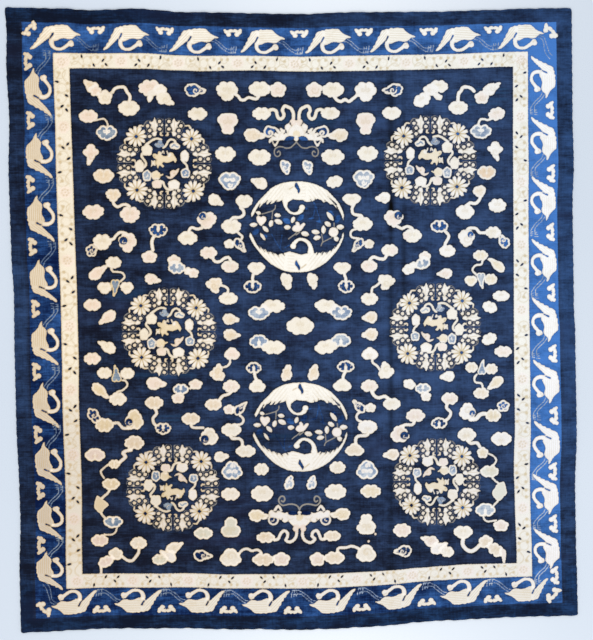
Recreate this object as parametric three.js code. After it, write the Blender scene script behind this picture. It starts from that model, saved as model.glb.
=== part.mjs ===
// A hand-knotted wool rug in the traditional Peking style, lying flat on the floor.
// It is one piece of cloth: a cotton foundation with a low pile, its overcast sides
// and its clipped ends all belong to the same solid.
// Millimetres, +X across the rug, +Y along it, +Z up, origin in the middle of the underside.
import * as THREE from 'three';

// Driving dimensions
const WIDTH = 2440;          // between the two overcast sides
const LENGTH = 2680;         // between the two clipped ends
const FOUNDATION = 3;        // warps, wefts and knot collars under the pile
const PILE = 6;              // clipped wool above the foundation
const THICKNESS = FOUNDATION + PILE;

// The rim: the pile leans outwards a little and rounds over at its top
const FOOT_INSET = 1.0;      // the underside stands back from the widest line
const BROW_INSET = 0.8;      // so does the line where the pile starts to round over
const BROW_DROP = 2.2;       // that line lies this far below the top
const SHOULDER = { reach: 14, step: 5, drop: 0.5 };
const CORNER_PULL = 2;       // each corner point moves in by this much both ways

// Mesh steps: a few fine ones at the rim, then even ones
const RIM_STEPS = [0, SHOULDER.step, SHOULDER.reach, 40];
const EVEN_STEP = 80;

// How far each edge stands out of the plain rectangle.
// The sides are measured from the near end, the ends from the left side.
const LEFT_SIDE = [
  { along: 0, out: 5 }, { along: 240, out: 4 }, { along: 500, out: -6 }, { along: 650, out: -6 },
  { along: 890, out: -2 }, { along: 1210, out: -3 }, { along: 1470, out: -7 }, { along: 1630, out: 0 },
  { along: 1980, out: 3 }, { along: 2230, out: -6 }, { along: 2440, out: 0 }, { along: 2580, out: -5 },
  { along: 2680, out: 0 },
];
const RIGHT_SIDE = [
  { along: 0, out: 9 }, { along: 140, out: 6 }, { along: 340, out: 1 }, { along: 590, out: -2 },
  { along: 810, out: 6 }, { along: 1260, out: 1 }, { along: 1390, out: -5 }, { along: 1840, out: -9 },
  { along: 2000, out: -3 }, { along: 2240, out: -8 }, { along: 2680, out: -10 },
];
const NEAR_END = [
  { along: 0, out: -3 }, { along: 370, out: -11 }, { along: 620, out: -4 }, { along: 980, out: 12 },
  { along: 1220, out: 22 }, { along: 1350, out: 22 }, { along: 1510, out: 18 }, { along: 1820, out: 1 },
  { along: 2180, out: -2 }, { along: 2440, out: 0 },
];
const FAR_END = [
  { along: 0, out: 4 }, { along: 220, out: -1 }, { along: 370, out: -9 }, { along: 540, out: -3 },
  { along: 775, out: -19 }, { along: 1260, out: -28 }, { along: 1470, out: -21 }, { along: 1830, out: -20 },
  { along: 2060, out: -14 }, { along: 2240, out: -8 }, { along: 2440, out: -6 },
];

// Soft creases that run in from the far end, where the rug was rolled and handled
const CREASES = [
  { along: 240, width: 45, rise: 2.0, reach: 260 },
  { along: 455, width: 60, rise: 1.6, reach: 200 },
  { along: 850, width: 70, rise: 2.2, reach: 320 },
  { along: 1500, width: 55, rise: 2.4, reach: 280 },
  { along: 1705, width: 40, rise: 1.4, reach: 420 },
];

// Low swell of the whole sheet, from a floor that the rug doesn't quite settle on
const SWELL = 0.7;
const SWELL_LENGTH = { x: 910, y: 1240 };

// Height of a smooth curve through the rows of a table at a place along an edge
function edgeOut(rows, along) {
  const last = rows[rows.length - 1];
  if (along >= last.along) return last.out;
  const next = rows.findIndex((row) => row.along > along);
  const before = rows[next - 1];
  const after = rows[next];
  const blend = THREE.MathUtils.smoothstep(along, before.along, after.along);
  return THREE.MathUtils.lerp(before.out, after.out, blend);
}

// Stations across one direction: fine at both rims, even between
function stations(size) {
  const inner = RIM_STEPS[RIM_STEPS.length - 1];
  const count = Math.round((size - 2 * inner) / EVEN_STEP);
  const even = Array.from({ length: count - 1 }, (_, k) => inner + ((k + 1) * (size - 2 * inner)) / count);
  const farRim = RIM_STEPS.map((step) => size - step).reverse();
  return [...RIM_STEPS, ...even, ...farRim];
}

const ACROSS = stations(WIDTH);
const ALONG = stations(LENGTH);

// Direction in which a station stands at the rim: -1, 1, or 0 inside
function rimSign(list, index) {
  if (index === 0) return -1;
  return index === list.length - 1 ? 1 : 0;
}

// Place of one grid point in plan, drawn in from the widest line by an inset
function planPoint(i, j, inset) {
  const s = ACROSS[i];
  const t = ALONG[j];
  const u = s / WIDTH;
  const v = t / LENGTH;
  const xOut = u * edgeOut(RIGHT_SIDE, t) - (1 - u) * edgeOut(LEFT_SIDE, t);
  const yOut = v * edgeOut(FAR_END, s) - (1 - v) * edgeOut(NEAR_END, s);
  const signX = rimSign(ACROSS, i);
  const signY = rimSign(ALONG, j);
  const pull = inset + (signX !== 0 && signY !== 0 ? CORNER_PULL : 0);
  return { x: s - WIDTH / 2 + xOut - signX * pull, y: t - LENGTH / 2 + yOut - signY * pull };
}

// Height of the pile's top over a grid point
function topHeight(i, j) {
  const s = ACROSS[i];
  const t = ALONG[j];
  const fromEnd = LENGTH - t;
  const creases = CREASES.reduce((sum, crease) => {
    const across = (s - crease.along) / crease.width;
    const fade = THREE.MathUtils.smoothstep(crease.reach - fromEnd, 0, crease.reach);
    return sum + crease.rise * fade * Math.exp(-across * across);
  }, 0);
  const swell = SWELL * Math.sin((2 * Math.PI * s) / SWELL_LENGTH.x) * Math.sin((2 * Math.PI * t) / SWELL_LENGTH.y);
  const rim = Math.min(s, WIDTH - s, t, LENGTH - t);
  let drop = 0;
  if (rim < SHOULDER.reach) drop = SHOULDER.drop;
  if (rim < SHOULDER.step) drop = BROW_DROP;
  return THICKNESS + creases + swell - drop;
}

// Grid indices once round the rim, anticlockwise seen from above
function rimLoop() {
  const lastI = ACROSS.length - 1;
  const lastJ = ALONG.length - 1;
  const loop = [];
  for (let i = 0; i < lastI; i += 1) loop.push([i, 0]);
  for (let j = 0; j < lastJ; j += 1) loop.push([lastI, j]);
  for (let i = lastI; i > 0; i -= 1) loop.push([i, lastJ]);
  for (let j = lastJ; j > 0; j -= 1) loop.push([0, j]);
  return loop;
}

// The closed body: a grid for the top, a grid for the underside and a rim between them
function rugGeometry() {
  const points = [];
  const faces = [];
  const addPoint = (plan, z) => points.push(new THREE.Vector3(plan.x, plan.y, z)) - 1;
  const addGrid = (inset, height) => ACROSS.map((_, i) => (
    ALONG.map((__, j) => addPoint(planPoint(i, j, inset), height(i, j)))));

  const top = addGrid(BROW_INSET, topHeight);
  const underside = addGrid(FOOT_INSET, () => 0);
  const rim = rimLoop();
  const widest = rim.map(([i, j]) => addPoint(planPoint(i, j, 0), FOUNDATION));

  for (let i = 0; i < ACROSS.length - 1; i += 1) {
    for (let j = 0; j < ALONG.length - 1; j += 1) {
      faces.push(top[i][j], top[i + 1][j], top[i + 1][j + 1]);
      faces.push(top[i][j], top[i + 1][j + 1], top[i][j + 1]);
      faces.push(underside[i][j], underside[i + 1][j + 1], underside[i + 1][j]);
      faces.push(underside[i][j], underside[i][j + 1], underside[i + 1][j + 1]);
    }
  }
  const addBand = (lower, upper) => rim.forEach((_, k) => {
    const next = (k + 1) % rim.length;
    faces.push(lower[k], lower[next], upper[next]);
    faces.push(lower[k], upper[next], upper[k]);
  });
  addBand(rim.map(([i, j]) => underside[i][j]), widest);
  addBand(widest, rim.map(([i, j]) => top[i][j]));

  const geometry = new THREE.BufferGeometry().setFromPoints(points);
  geometry.setIndex(faces);
  geometry.computeBoundingBox();
  const box = geometry.boundingBox;
  geometry.translate(-(box.min.x + box.max.x) / 2, -(box.min.y + box.max.y) / 2, 0);
  geometry.computeVertexNormals();
  return geometry;
}

const navyWool = new THREE.MeshStandardMaterial({ color: 0x22335c, roughness: 0.95, metalness: 0 });

const rug = new THREE.Mesh(rugGeometry(), navyWool);
rug.name = 'rug';

const model = new THREE.Group();
model.add(rug);

export default model;
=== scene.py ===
"""A hand-knotted wool rug in the traditional Peking style, lying flat on a pale floor.

The rug is in metres, in the CAD's frame: +X across, +Y along, +Z up. Its pattern is placed in the
photograph's pixels, as read off it, and carried onto the cloth through the camera.
"""

import math

import bpy
import numpy as np
from mathutils import Matrix


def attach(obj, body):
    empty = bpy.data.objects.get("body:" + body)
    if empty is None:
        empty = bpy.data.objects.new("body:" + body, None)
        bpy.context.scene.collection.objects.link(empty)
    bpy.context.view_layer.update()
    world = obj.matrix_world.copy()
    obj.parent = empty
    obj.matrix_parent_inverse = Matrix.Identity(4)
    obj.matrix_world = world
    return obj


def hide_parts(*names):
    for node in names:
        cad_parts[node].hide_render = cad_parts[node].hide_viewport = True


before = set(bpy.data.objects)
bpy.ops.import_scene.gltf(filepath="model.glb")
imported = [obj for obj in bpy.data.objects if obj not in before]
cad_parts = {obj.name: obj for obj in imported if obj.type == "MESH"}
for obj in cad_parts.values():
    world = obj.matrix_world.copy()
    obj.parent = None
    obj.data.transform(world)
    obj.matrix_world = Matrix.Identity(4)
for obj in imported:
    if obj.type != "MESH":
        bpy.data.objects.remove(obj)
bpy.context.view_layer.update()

# Driving dimensions of the cloth, in metres
WIDTH = 2.440
LENGTH = 2.680
FOUNDATION = 0.003
PILE_TOP = 0.009
KNOT = 0.0042
MILLI = 0.001

# The cloth's plain rectangle, in millimetres
WIDE = WIDTH / MILLI
LONG = LENGTH / MILLI

# The photograph's frame and focal length, in pixels
PHOTO_WIDE = 593.0
PHOTO_HIGH = 640.0
FOCAL = 966.0
# The camera: metres from the pile's middle, degrees of turn, and a sensor in millimetres
CAMERA_PLACE = (-0.193, 0.178, 4.180)
CAMERA_TILT = 2.433
CAMERA_ROLL = 2.558
CAMERA_SPIN = 0.894
SENSOR = 36.0

# How far each edge stands out of the plain rectangle: millimetres along it, millimetres out
LEFT_SIDE = [
    (0, 5), (240, 4), (500, -6), (650, -5), (890, 0), (1210, -1), (1470, -5), (1630, 1),
    (1980, 3), (2230, -6), (2440, 0), (2580, -5), (2680, 0),
]
RIGHT_SIDE = [
    (0, 9), (140, 6), (340, 1), (590, -2), (810, 6), (1260, 1), (1390, -5), (1840, -9),
    (2000, -3), (2240, -8), (2680, -10),
]
NEAR_END = [
    (0, -1), (370, -8), (620, -1), (980, 15), (1220, 25), (1350, 25), (1510, 21), (1820, 4),
    (2180, -2), (2440, 0),
]
FAR_END = [
    (0, 4), (220, -1), (370, -9), (540, -3), (775, -19), (1260, -28), (1470, -21), (1830, -20),
    (2060, -14), (2240, -8), (2440, -6),
]

# The same for the line where the guard band meets the field
LEFT_LINE = [(314, 0), (640, -6), (1010, -3), (1190, -7), (1440, -7), (1840, -3), (2340, 1)]
RIGHT_LINE = [(260, 6), (540, -1), (660, -4), (880, 2), (1280, 0), (1640, 1), (2104, 1), (2406, 3)]
NEAR_LINE = [
    (320, -7), (674, 2), (935, 14), (1220, 21), (1320, 23), (1510, 20), (1626, 16), (1726, 9),
    (1833, 4), (1940, -1), (2150, 0),
]
FAR_LINE = [
    (320, -7), (570, -10), (720, -18), (820, -22), (1020, -20), (1270, -26), (1490, -25),
    (1700, -22), (1910, -18), (2120, -11),
]

# Bands, in millimetres from the edge: plain margin, crane border, guard band
LEFT_BANDS = (67, 198, 267)
RIGHT_BANDS = (70, 204, 273)
NEAR_BANDS = (61, 184, 246)
FAR_BANDS = (61, 184, 247)

# A worn outline, in millimetres: the radius of the corners, and the pitch of small waves along the sides
# and the ends. The near end's waves are higher by a share.
CORNER = 14.0
SIDE_PITCH = 26.0
END_PITCH = 52.0
NEAR_WAVE = 1.5
# Each wave: its height in millimetres, its turns in one pitch, and where it starts in radians
WAVES = [(0.6, 1.0, 0), (0.5, 0.63, 1), (0.5, 0.38, 2)]

# Soft creases that run in from the far end: place, width, rise and reach in millimetres
CREASES = [
    (240, 45, 2.0, 260), (455, 60, 1.6, 200), (850, 70, 2.2, 320), (1500, 55, 2.4, 280),
    (1705, 40, 1.4, 420),
]
# A faint swell over the whole top: its height and its length each way
SWELL = 0.7
SWELL_ACROSS = 910
SWELL_ALONG = 1240

# The rim's section, from the foot up, and its shoulder: how far in, and how high, in millimetres
RIM_SECTION = [(0.8, 0.2), (0.0, 2.5), (0.6, 5.5), (2.2, 7.6)]
SHOULDER_STEPS = [(5, 8.6), (10, 9.0), (18, 9.0), (30, 9.0), (50, 9.0)]


def linear(red, green, blue):
    """A colour given in 0 to 255, as Blender's linear numbers."""
    return tuple(
        c / 12.92 if c <= 0.04045 else ((c + 0.055) / 1.055) ** 2.4
        for c in (red / 255, green / 255, blue / 255)
    )


# Camera, floor and light

# Each light: place and size in metres, watts, colour
LIGHTS = {
    "window": ((0.6, -3.2, 4.8), (3.0, 3.0), 150, (1.0, 0.99, 0.97)),
    "fill": ((-1.0, 3.2, 4.6), (3.5, 3.5), 80, (0.96, 0.98, 1.0)),
}
WORLD_COLOUR = (0.93, 0.96, 1.0)
WORLD_STRENGTH = 0.75

# The floor: half its size, its level under the rug, and where it is lit, in metres
FLOOR_HALF = 12.0
FLOOR_LEVEL = -0.0004
FLOOR_NEAR_PLACE = (0.1, -1.9, 0.0)
FLOOR_FAR_PLACE = (0.2, 1.8, 0.0)
FLOOR_LIT_REACH = 1.5
FLOOR_COOL = linear(196, 205, 216)
FLOOR_PALE = linear(206, 213, 222)
FLOOR_LIT = linear(240, 242, 244)
FLOOR_PATCHES = 0.7
FLOOR_ROUGHNESS = 0.7


def camera_turn():
    """Turns the rug's axes into the camera's."""
    spin = Matrix.Rotation(math.radians(CAMERA_SPIN), 3, "Z")
    tilt = Matrix.Rotation(math.radians(CAMERA_TILT), 3, "X")
    roll = Matrix.Rotation(math.radians(CAMERA_ROLL), 3, "Y")
    return spin @ tilt @ roll


def photo_pixels(x, y):
    """Where points of the pile's plane, in metres from the plain rectangle's middle, show."""
    turn = np.array(camera_turn())
    dx = x - CAMERA_PLACE[0]
    dy = y - CAMERA_PLACE[1]
    dz = -CAMERA_PLACE[2]
    seen = [row[0] * dx + row[1] * dy + row[2] * dz for row in turn]
    across = PHOTO_WIDE / 2 - FOCAL * seen[0] / seen[2]
    down = PHOTO_HIGH / 2 + FOCAL * seen[1] / seen[2]
    return across, down


def add_camera(shift_x, shift_y):
    data = bpy.data.cameras.new("camera")
    data.sensor_width = SENSOR
    data.lens = FOCAL / PHOTO_HIGH * SENSOR
    camera = bpy.data.objects.new("camera", data)
    x, y, z = CAMERA_PLACE
    place = Matrix.Translation((x + shift_x, y + shift_y, z + PILE_TOP))
    camera.matrix_world = place @ camera_turn().transposed().to_4x4()
    bpy.context.scene.collection.objects.link(camera)
    bpy.context.scene.camera = camera


def add_light(name, place, size, watts, colour):
    data = bpy.data.lights.new(name, "AREA")
    data.shape = "RECTANGLE"
    data.size = size[0]
    data.size_y = size[1]
    data.energy = watts
    data.color = colour
    light = bpy.data.objects.new(name, data)
    light.location = place
    direction = -light.location.normalized()
    light.rotation_mode = "QUATERNION"
    light.rotation_quaternion = direction.to_track_quat("-Z", "Y")
    bpy.context.scene.collection.objects.link(light)


def add_world():
    world = bpy.data.worlds.new("studio")
    world.use_nodes = True
    background = world.node_tree.nodes["Background"]
    background.inputs["Color"].default_value = (*WORLD_COLOUR, 1)
    background.inputs["Strength"].default_value = WORLD_STRENGTH
    bpy.context.scene.world = world


def add_floor():
    """A plain pale floor, lit a little more at the near and the far end."""
    half, level = FLOOR_HALF, FLOOR_LEVEL
    corners = [(-half, -half, level), (half, -half, level), (half, half, level), (-half, half, level)]
    mesh = bpy.data.meshes.new("floor")
    mesh.from_pydata(corners, [], [(0, 1, 2, 3)])
    floor = bpy.data.objects.new("floor", mesh)
    bpy.context.scene.collection.objects.link(floor)
    nodes = Nodes("pale_floor")
    place = nodes.position()
    colour = nodes.mix(nodes.noise(place, FLOOR_PATCHES, 2), FLOOR_COOL, FLOOR_PALE)
    for centre in (FLOOR_NEAR_PLACE, FLOOR_FAR_PLACE):
        colour = nodes.mix(nodes.near(place, centre, FLOOR_LIT_REACH), colour, FLOOR_LIT)
    nodes.surface(colour, FLOOR_ROUGHNESS)
    mesh.materials.append(nodes.material)


# The mix node's sockets for colours
MIX_FIRST = 6
MIX_SECOND = 7
MIX_RESULT = 2
# How much every surface mirrors, and how soft its sheen is
SPECULAR = 0.1
SHEEN_ROUGHNESS = 0.45


class Nodes:
    """A material's node tree, with short calls for the nodes that it uses."""

    def __init__(self, name):
        self.material = bpy.data.materials.new(name)
        self.material.use_nodes = True
        self.tree = self.material.node_tree
        self.shader = self.tree.nodes["Principled BSDF"]

    def put(self, socket, value):
        if isinstance(value, bpy.types.NodeSocket):
            self.tree.links.new(value, socket)
        elif isinstance(value, tuple) and len(value) == 3 and socket.type == "RGBA":
            socket.default_value = (*value, 1)
        else:
            socket.default_value = value

    def position(self):
        return self.tree.nodes.new("ShaderNodeTexCoord").outputs["Object"]

    def channel(self, name, colour=False):
        node = self.tree.nodes.new("ShaderNodeAttribute")
        node.attribute_name = name
        return node.outputs["Color" if colour else "Fac"]

    def math(self, operation, first, second=0.0, third=0.0):
        node = self.tree.nodes.new("ShaderNodeMath")
        node.operation = operation
        for socket, value in zip(node.inputs, (first, second, third)):
            self.put(socket, value)
        return node.outputs[0]

    def stretch(self, vector, scale):
        node = self.tree.nodes.new("ShaderNodeMapping")
        self.put(node.inputs["Vector"], vector)
        node.inputs["Scale"].default_value = scale
        return node.outputs[0]

    def near(self, vector, centre, reach):
        """1 at a place, and down to 0 at some reach from it."""
        shift = self.tree.nodes.new("ShaderNodeMapping")
        self.put(shift.inputs["Vector"], vector)
        shift.inputs["Location"].default_value = tuple(-c / reach for c in centre)
        shift.inputs["Scale"].default_value = (1 / reach,) * 3
        node = self.tree.nodes.new("ShaderNodeTexGradient")
        node.gradient_type = "QUADRATIC_SPHERE"
        self.put(node.inputs["Vector"], shift.outputs[0])
        return node.outputs["Fac"]

    def noise(self, vector, scale, detail, roughness=0.5):
        node = self.tree.nodes.new("ShaderNodeTexNoise")
        self.put(node.inputs["Vector"], vector)
        node.inputs["Scale"].default_value = scale
        node.inputs["Detail"].default_value = detail
        node.inputs["Roughness"].default_value = roughness
        return node.outputs["Fac"]

    def woven(self, vector, scale, detail, roughness):
        """Noise that is finer one way than another."""
        return self.noise(self.stretch(vector, scale), 1.0, detail, roughness)

    def mix(self, share, first, second, how="MIX"):
        node = self.tree.nodes.new("ShaderNodeMix")
        node.data_type = "RGBA"
        node.blend_type = how
        self.put(node.inputs[0], share)
        self.put(node.inputs[MIX_FIRST], first)
        self.put(node.inputs[MIX_SECOND], second)
        return node.outputs[MIX_RESULT]

    def ramp(self, value, low, high, start=0.0, end=1.0):
        """Runs smoothly from start to end while value goes from low to high."""
        node = self.tree.nodes.new("ShaderNodeMapRange")
        node.interpolation_type = "SMOOTHSTEP"
        self.put(node.inputs["Value"], value)
        node.inputs["From Min"].default_value = low
        node.inputs["From Max"].default_value = high
        node.inputs["To Min"].default_value = start
        node.inputs["To Max"].default_value = end
        return node.outputs[0]

    def bump(self, height, strength, distance, normal=None):
        node = self.tree.nodes.new("ShaderNodeBump")
        self.put(node.inputs["Height"], height)
        node.inputs["Strength"].default_value = strength
        node.inputs["Distance"].default_value = distance
        if normal is not None:
            self.put(node.inputs["Normal"], normal)
        return node.outputs[0]

    def surface(self, colour, roughness, normal=None, sheen=0.0, sheen_tint=(1, 1, 1)):
        self.put(self.shader.inputs["Base Color"], colour)
        self.put(self.shader.inputs["Roughness"], roughness)
        self.shader.inputs["Specular IOR Level"].default_value = SPECULAR
        if normal is not None:
            self.put(self.shader.inputs["Normal"], normal)
        if sheen:
            self.shader.inputs["Sheen Weight"].default_value = sheen
            self.shader.inputs["Sheen Roughness"].default_value = SHEEN_ROUGHNESS
            self.shader.inputs["Sheen Tint"].default_value = (*sheen_tint, 1)


# The cloth's plan: s runs across from the left side and t along from the near end

def smooth(x):
    x = np.clip(x, 0.0, 1.0)
    return x * x * (3 - 2 * x)


def along_table(rows, place):
    """Height of a smooth curve through a table's rows."""
    place = np.asarray(place, float)
    result = np.full(place.shape, float(rows[0][1]))
    for (start, low), (end, high) in zip(rows, rows[1:]):
        share = smooth((place - start) / (end - start))
        result = result + (high - low) * share
    return result


def bend(values, rows):
    """Linear between rows of (place, array), for every place in values."""
    result = np.array(np.broadcast_to(rows[0][1], np.broadcast(values, rows[0][1]).shape), float)
    for (start, low), (end, high) in zip(rows, rows[1:]):
        share = np.clip((values - start) / (end - start), 0.0, 1.0)
        result = result + (high - low) * share
    return result


def ripple(place, pitch):
    """Small unevenness of a worn edge, in millimetres."""
    turn = 2 * np.pi * place / pitch
    return sum(height * np.sin(rate * turn + start) for height, rate, start in WAVES)


def rounded_corners(s, t):
    """Draws the rectangle's corners in to quarter circles."""
    from_side = np.maximum(np.abs(s - WIDE / 2) - WIDE / 2 + CORNER, 0) / CORNER
    from_end = np.maximum(np.abs(t - LONG / 2) - LONG / 2 + CORNER, 0) / CORNER
    draw_s = CORNER * from_side * (1 - np.sqrt(1 - from_end ** 2 / 2))
    draw_t = CORNER * from_end * (1 - np.sqrt(1 - from_side ** 2 / 2))
    return s - draw_s * np.sign(s - WIDE / 2), t - draw_t * np.sign(t - LONG / 2)


def plan(s, t):
    """Place of chart points in plan, all in millimetres, from the plain rectangle's middle."""
    left = -along_table(LEFT_SIDE, t)
    right = along_table(RIGHT_SIDE, t)
    near = -along_table(NEAR_END, s)
    far = along_table(FAR_END, s)
    side_wave = ripple(t, SIDE_PITCH)
    end_wave = ripple(s, END_PITCH)
    x_out = bend(s, [
        (0, left - side_wave), (LEFT_BANDS[0], left), (LEFT_BANDS[2], -along_table(LEFT_LINE, t)),
        (WIDE - RIGHT_BANDS[2], along_table(RIGHT_LINE, t)), (WIDE - RIGHT_BANDS[0], right),
        (WIDE, right + side_wave),
    ])
    y_out = bend(t, [
        (0, near - NEAR_WAVE * end_wave), (NEAR_BANDS[0], near),
        (NEAR_BANDS[2], -along_table(NEAR_LINE, s)), (LONG - FAR_BANDS[2], along_table(FAR_LINE, s)),
        (LONG - FAR_BANDS[0], far), (LONG, far + end_wave),
    ])
    s, t = rounded_corners(s, t)
    return s - WIDE / 2 + x_out, t - LONG / 2 + y_out


def spread(start, end, step):
    """Even stations from start to end, without start."""
    count = max(1, round((end - start) / step))
    return [start + (k + 1) * (end - start) / count for k in range(count)]


def stations(size, low_bands, high_bands):
    """Graded steps at both rims, and a knot apart in between, with the band lines on stations."""
    first = RIM_SECTION[-1][0]
    rim = [inset for inset, _ in SHOULDER_STEPS]
    step = KNOT / MILLI
    places = [first, *rim, low_bands[0]]
    for start, end in zip(low_bands, low_bands[1:]):
        places += spread(start, end, step)
    places += spread(low_bands[2], size - high_bands[2], step)
    places += spread(size - high_bands[2], size - high_bands[1], step)
    places += spread(size - high_bands[1], size - high_bands[0], step)
    places += [size - inset for inset in reversed(rim)] + [size - first]
    return np.array(places)


# The pile's grid: one point for every knot or so, its place in plan and where it shows in the photograph
ACROSS = stations(WIDE, LEFT_BANDS, RIGHT_BANDS)
ALONG = stations(LONG, NEAR_BANDS, FAR_BANDS)
S, T = np.meshgrid(ACROSS, ALONG, indexing="ij")
PLAN_X, PLAN_Y = plan(S, T)
PX, PY = photo_pixels(PLAN_X * MILLI, PLAN_Y * MILLI)
MM_PER_PIXEL = 4.3


def rim_distance():
    """How far every grid point is from the rim, in millimetres."""
    return np.minimum(np.minimum(S, WIDE - S), np.minimum(T, LONG - T))


def top_height():
    """Height of the pile's top over the floor, in millimetres."""
    from_end = LONG - T
    creases = sum(
        rise * smooth((reach - from_end) / reach) * np.exp(-(((S - place) / width) ** 2))
        for place, width, rise, reach in CREASES
    )
    swell = SWELL * np.sin(2 * np.pi * S / SWELL_ACROSS) * np.sin(2 * np.pi * T / SWELL_ALONG)
    insets = [RIM_SECTION[-1][0], *(inset for inset, _ in SHOULDER_STEPS)]
    levels = [RIM_SECTION[-1][1], *(level for _, level in SHOULDER_STEPS)]
    return np.interp(rim_distance(), insets, levels) + creases + swell


# Painting: every colour of wool has a signed distance, in photo pixels, from each knot to its edge

LAYERS = ("royal", "ivory", "pale", "tan")
FAR_OFF = 9.0
DISTANCE = {name: np.full(S.shape, FAR_OFF) for name in LAYERS}
COLUMN_LOW, COLUMN_HIGH = PX.min(1), PX.max(1)
ROW_LOW, ROW_HIGH = PY.min(0), PY.max(0)

# A shape's own yarn and how far it shows within the ivory rim
TINT = np.zeros((*S.shape, 3))
CORE = np.zeros(S.shape)
# How deep the drawn lines are; and the count and depth of a wing's fine parallel lines
LINES = np.zeros(S.shape)
COMB = np.zeros(S.shape)
COMBED = np.zeros(S.shape)

# In photo pixels: how far a yarn runs past its shape, half the blend from rim to yarn, half a drawn
# line's soft edge, and how far a comb runs past its shape and stays within it
DYE_REACH = 1.5
RIM_BLEND = 0.6
LINE_BLEND = 0.5
COMB_REACH = 2.5
COMB_INSET = 0.2

YARNS = {
    "snow": linear(252, 246, 228),
    "white": linear(254, 250, 240),
    "blush": linear(246, 234, 218),
    "ivory": linear(242, 235, 220),
    "bone": linear(242, 236, 216),
    "cream": linear(238, 228, 204),
    "sand": linear(225, 215, 194),
    "core": linear(231, 212, 180),
    "peach": linear(236, 217, 197),
    "straw": linear(232, 213, 172),
    "amber": linear(222, 184, 134),
    "sage": linear(218, 214, 188),
}


def window(box):
    """Slices of the grid that cover a box of photo pixels."""
    x0, y0, x1, y1 = box
    columns = np.flatnonzero((COLUMN_HIGH >= x0) & (COLUMN_LOW <= x1))
    rows = np.flatnonzero((ROW_HIGH >= y0) & (ROW_LOW <= y1))
    return slice(columns[0], columns[-1] + 1), slice(rows[0], rows[-1] + 1)


def lay(layer, cut, distance):
    """Lays one colour's shape over all that is there; layer None is the navy ground."""
    order = -1 if layer is None else LAYERS.index(layer)
    for number, name in enumerate(LAYERS):
        field = DISTANCE[name][cut]
        if number == order:
            np.minimum(field, distance, out=field)
        elif number > order:
            np.maximum(field, -distance, out=field)


def dye(cut, distance, yarn, rim=0.0):
    """Gives the wool inside a shape its own yarn, with an ivory rim of some pixels."""
    inside = distance < DYE_REACH
    TINT[cut][inside] = YARNS[yarn]
    share = smooth((-distance - rim + RIM_BLEND) / (2 * RIM_BLEND)) if rim else 1.0
    CORE[cut] = np.where(inside, share, CORE[cut])
    LINES[cut] = np.where(inside, 0.0, LINES[cut])
    COMBED[cut] = np.where(inside, 0.0, COMBED[cut])


class Patch:
    """A window of the pile with its own axes, in photo pixels or close to them."""

    def __init__(self, cut, x, y):
        self.cut = cut
        self.x = x
        self.y = y

    def paint(self, layer, shape, yarn=None, rim=0.0):
        distance = shape(self.x, self.y)
        lay(layer, self.cut, distance)
        if yarn:
            dye(self.cut, distance, yarn, rim)

    def rule(self, shape, strength=0.6):
        """A fine line of a deeper yarn within a shape."""
        distance = shape(self.x, self.y)
        mark = strength * smooth(LINE_BLEND - distance)
        LINES[self.cut] = np.maximum(LINES[self.cut], mark)

    def comb(self, shape, across, spacing, strength):
        """Fine parallel lines of a deeper yarn within a shape, across a direction in degrees."""
        distance = shape(self.x, self.y)
        angle = math.radians(across)
        phase = (self.x * math.cos(angle) + self.y * math.sin(angle)) / spacing
        near = distance < COMB_REACH
        COMB[self.cut] = np.where(near, phase, COMB[self.cut])
        mark = strength * smooth(-distance - COMB_INSET)
        COMBED[self.cut] = np.where(near, mark, COMBED[self.cut])


# Shapes: functions of local x and y that give a signed distance

TINY = 1e-9


def ellipse(cx, cy, rx, ry):
    def distance(x, y):
        u = (x - cx) / rx
        v = (y - cy) / ry
        near = np.hypot(u, v)
        slope = np.hypot(u / rx, v / ry) + TINY
        return near * (near - 1) / slope
    return distance


def joined(shapes, softness=0.0):
    """Union of shapes, with its inner corners filled by softness."""
    def distance(x, y):
        result = shapes[0](x, y)
        for shape in shapes[1:]:
            other = shape(x, y)
            lower = np.minimum(result, other)
            if softness:
                overlap = np.maximum(softness - np.abs(result - other), 0) / softness
                lower = lower - overlap * overlap * softness / 4
            result = lower
        return result
    return distance


def curve(points, pieces=4, closed=False):
    """Points of a smooth curve through the given ones."""
    given = np.array(points, float)
    count = len(given)
    if count < 3:
        return given
    result = []
    spans = count if closed else count - 1
    for k in range(spans):
        def at(offset):
            return given[(k + offset) % count] if closed else given[min(max(k + offset, 0), count - 1)]
        p0, p1, p2, p3 = at(-1), at(0), at(1), at(2)
        for step in range(pieces):
            u = step / pieces
            result.append(0.5 * (
                2 * p1 + (p2 - p0) * u + (2 * p0 - 5 * p1 + 4 * p2 - p3) * u * u
                + (3 * p1 - p0 - 3 * p2 + p3) * u ** 3
            ))
    if not closed:
        result.append(given[-1])
    return np.array(result)


def stroke(points, width, end_width=None, smooth_line=True):
    """A line of one width, or of one that runs to end_width."""
    path = curve(points) if smooth_line else np.array(points, float)
    last = width if end_width is None else end_width
    radii = np.linspace(width / 2, last / 2, len(path))

    def distance(x, y):
        result = np.full(np.shape(x), np.inf)
        for a, b, ra, rb in zip(path, path[1:], radii, radii[1:]):
            ex, ey = b - a
            size = ex * ex + ey * ey + TINY
            share = np.clip(((x - a[0]) * ex + (y - a[1]) * ey) / size, 0, 1)
            off = np.hypot(x - a[0] - share * ex, y - a[1] - share * ey)
            result = np.minimum(result, off - ra - (rb - ra) * share)
        return result
    return distance


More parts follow.
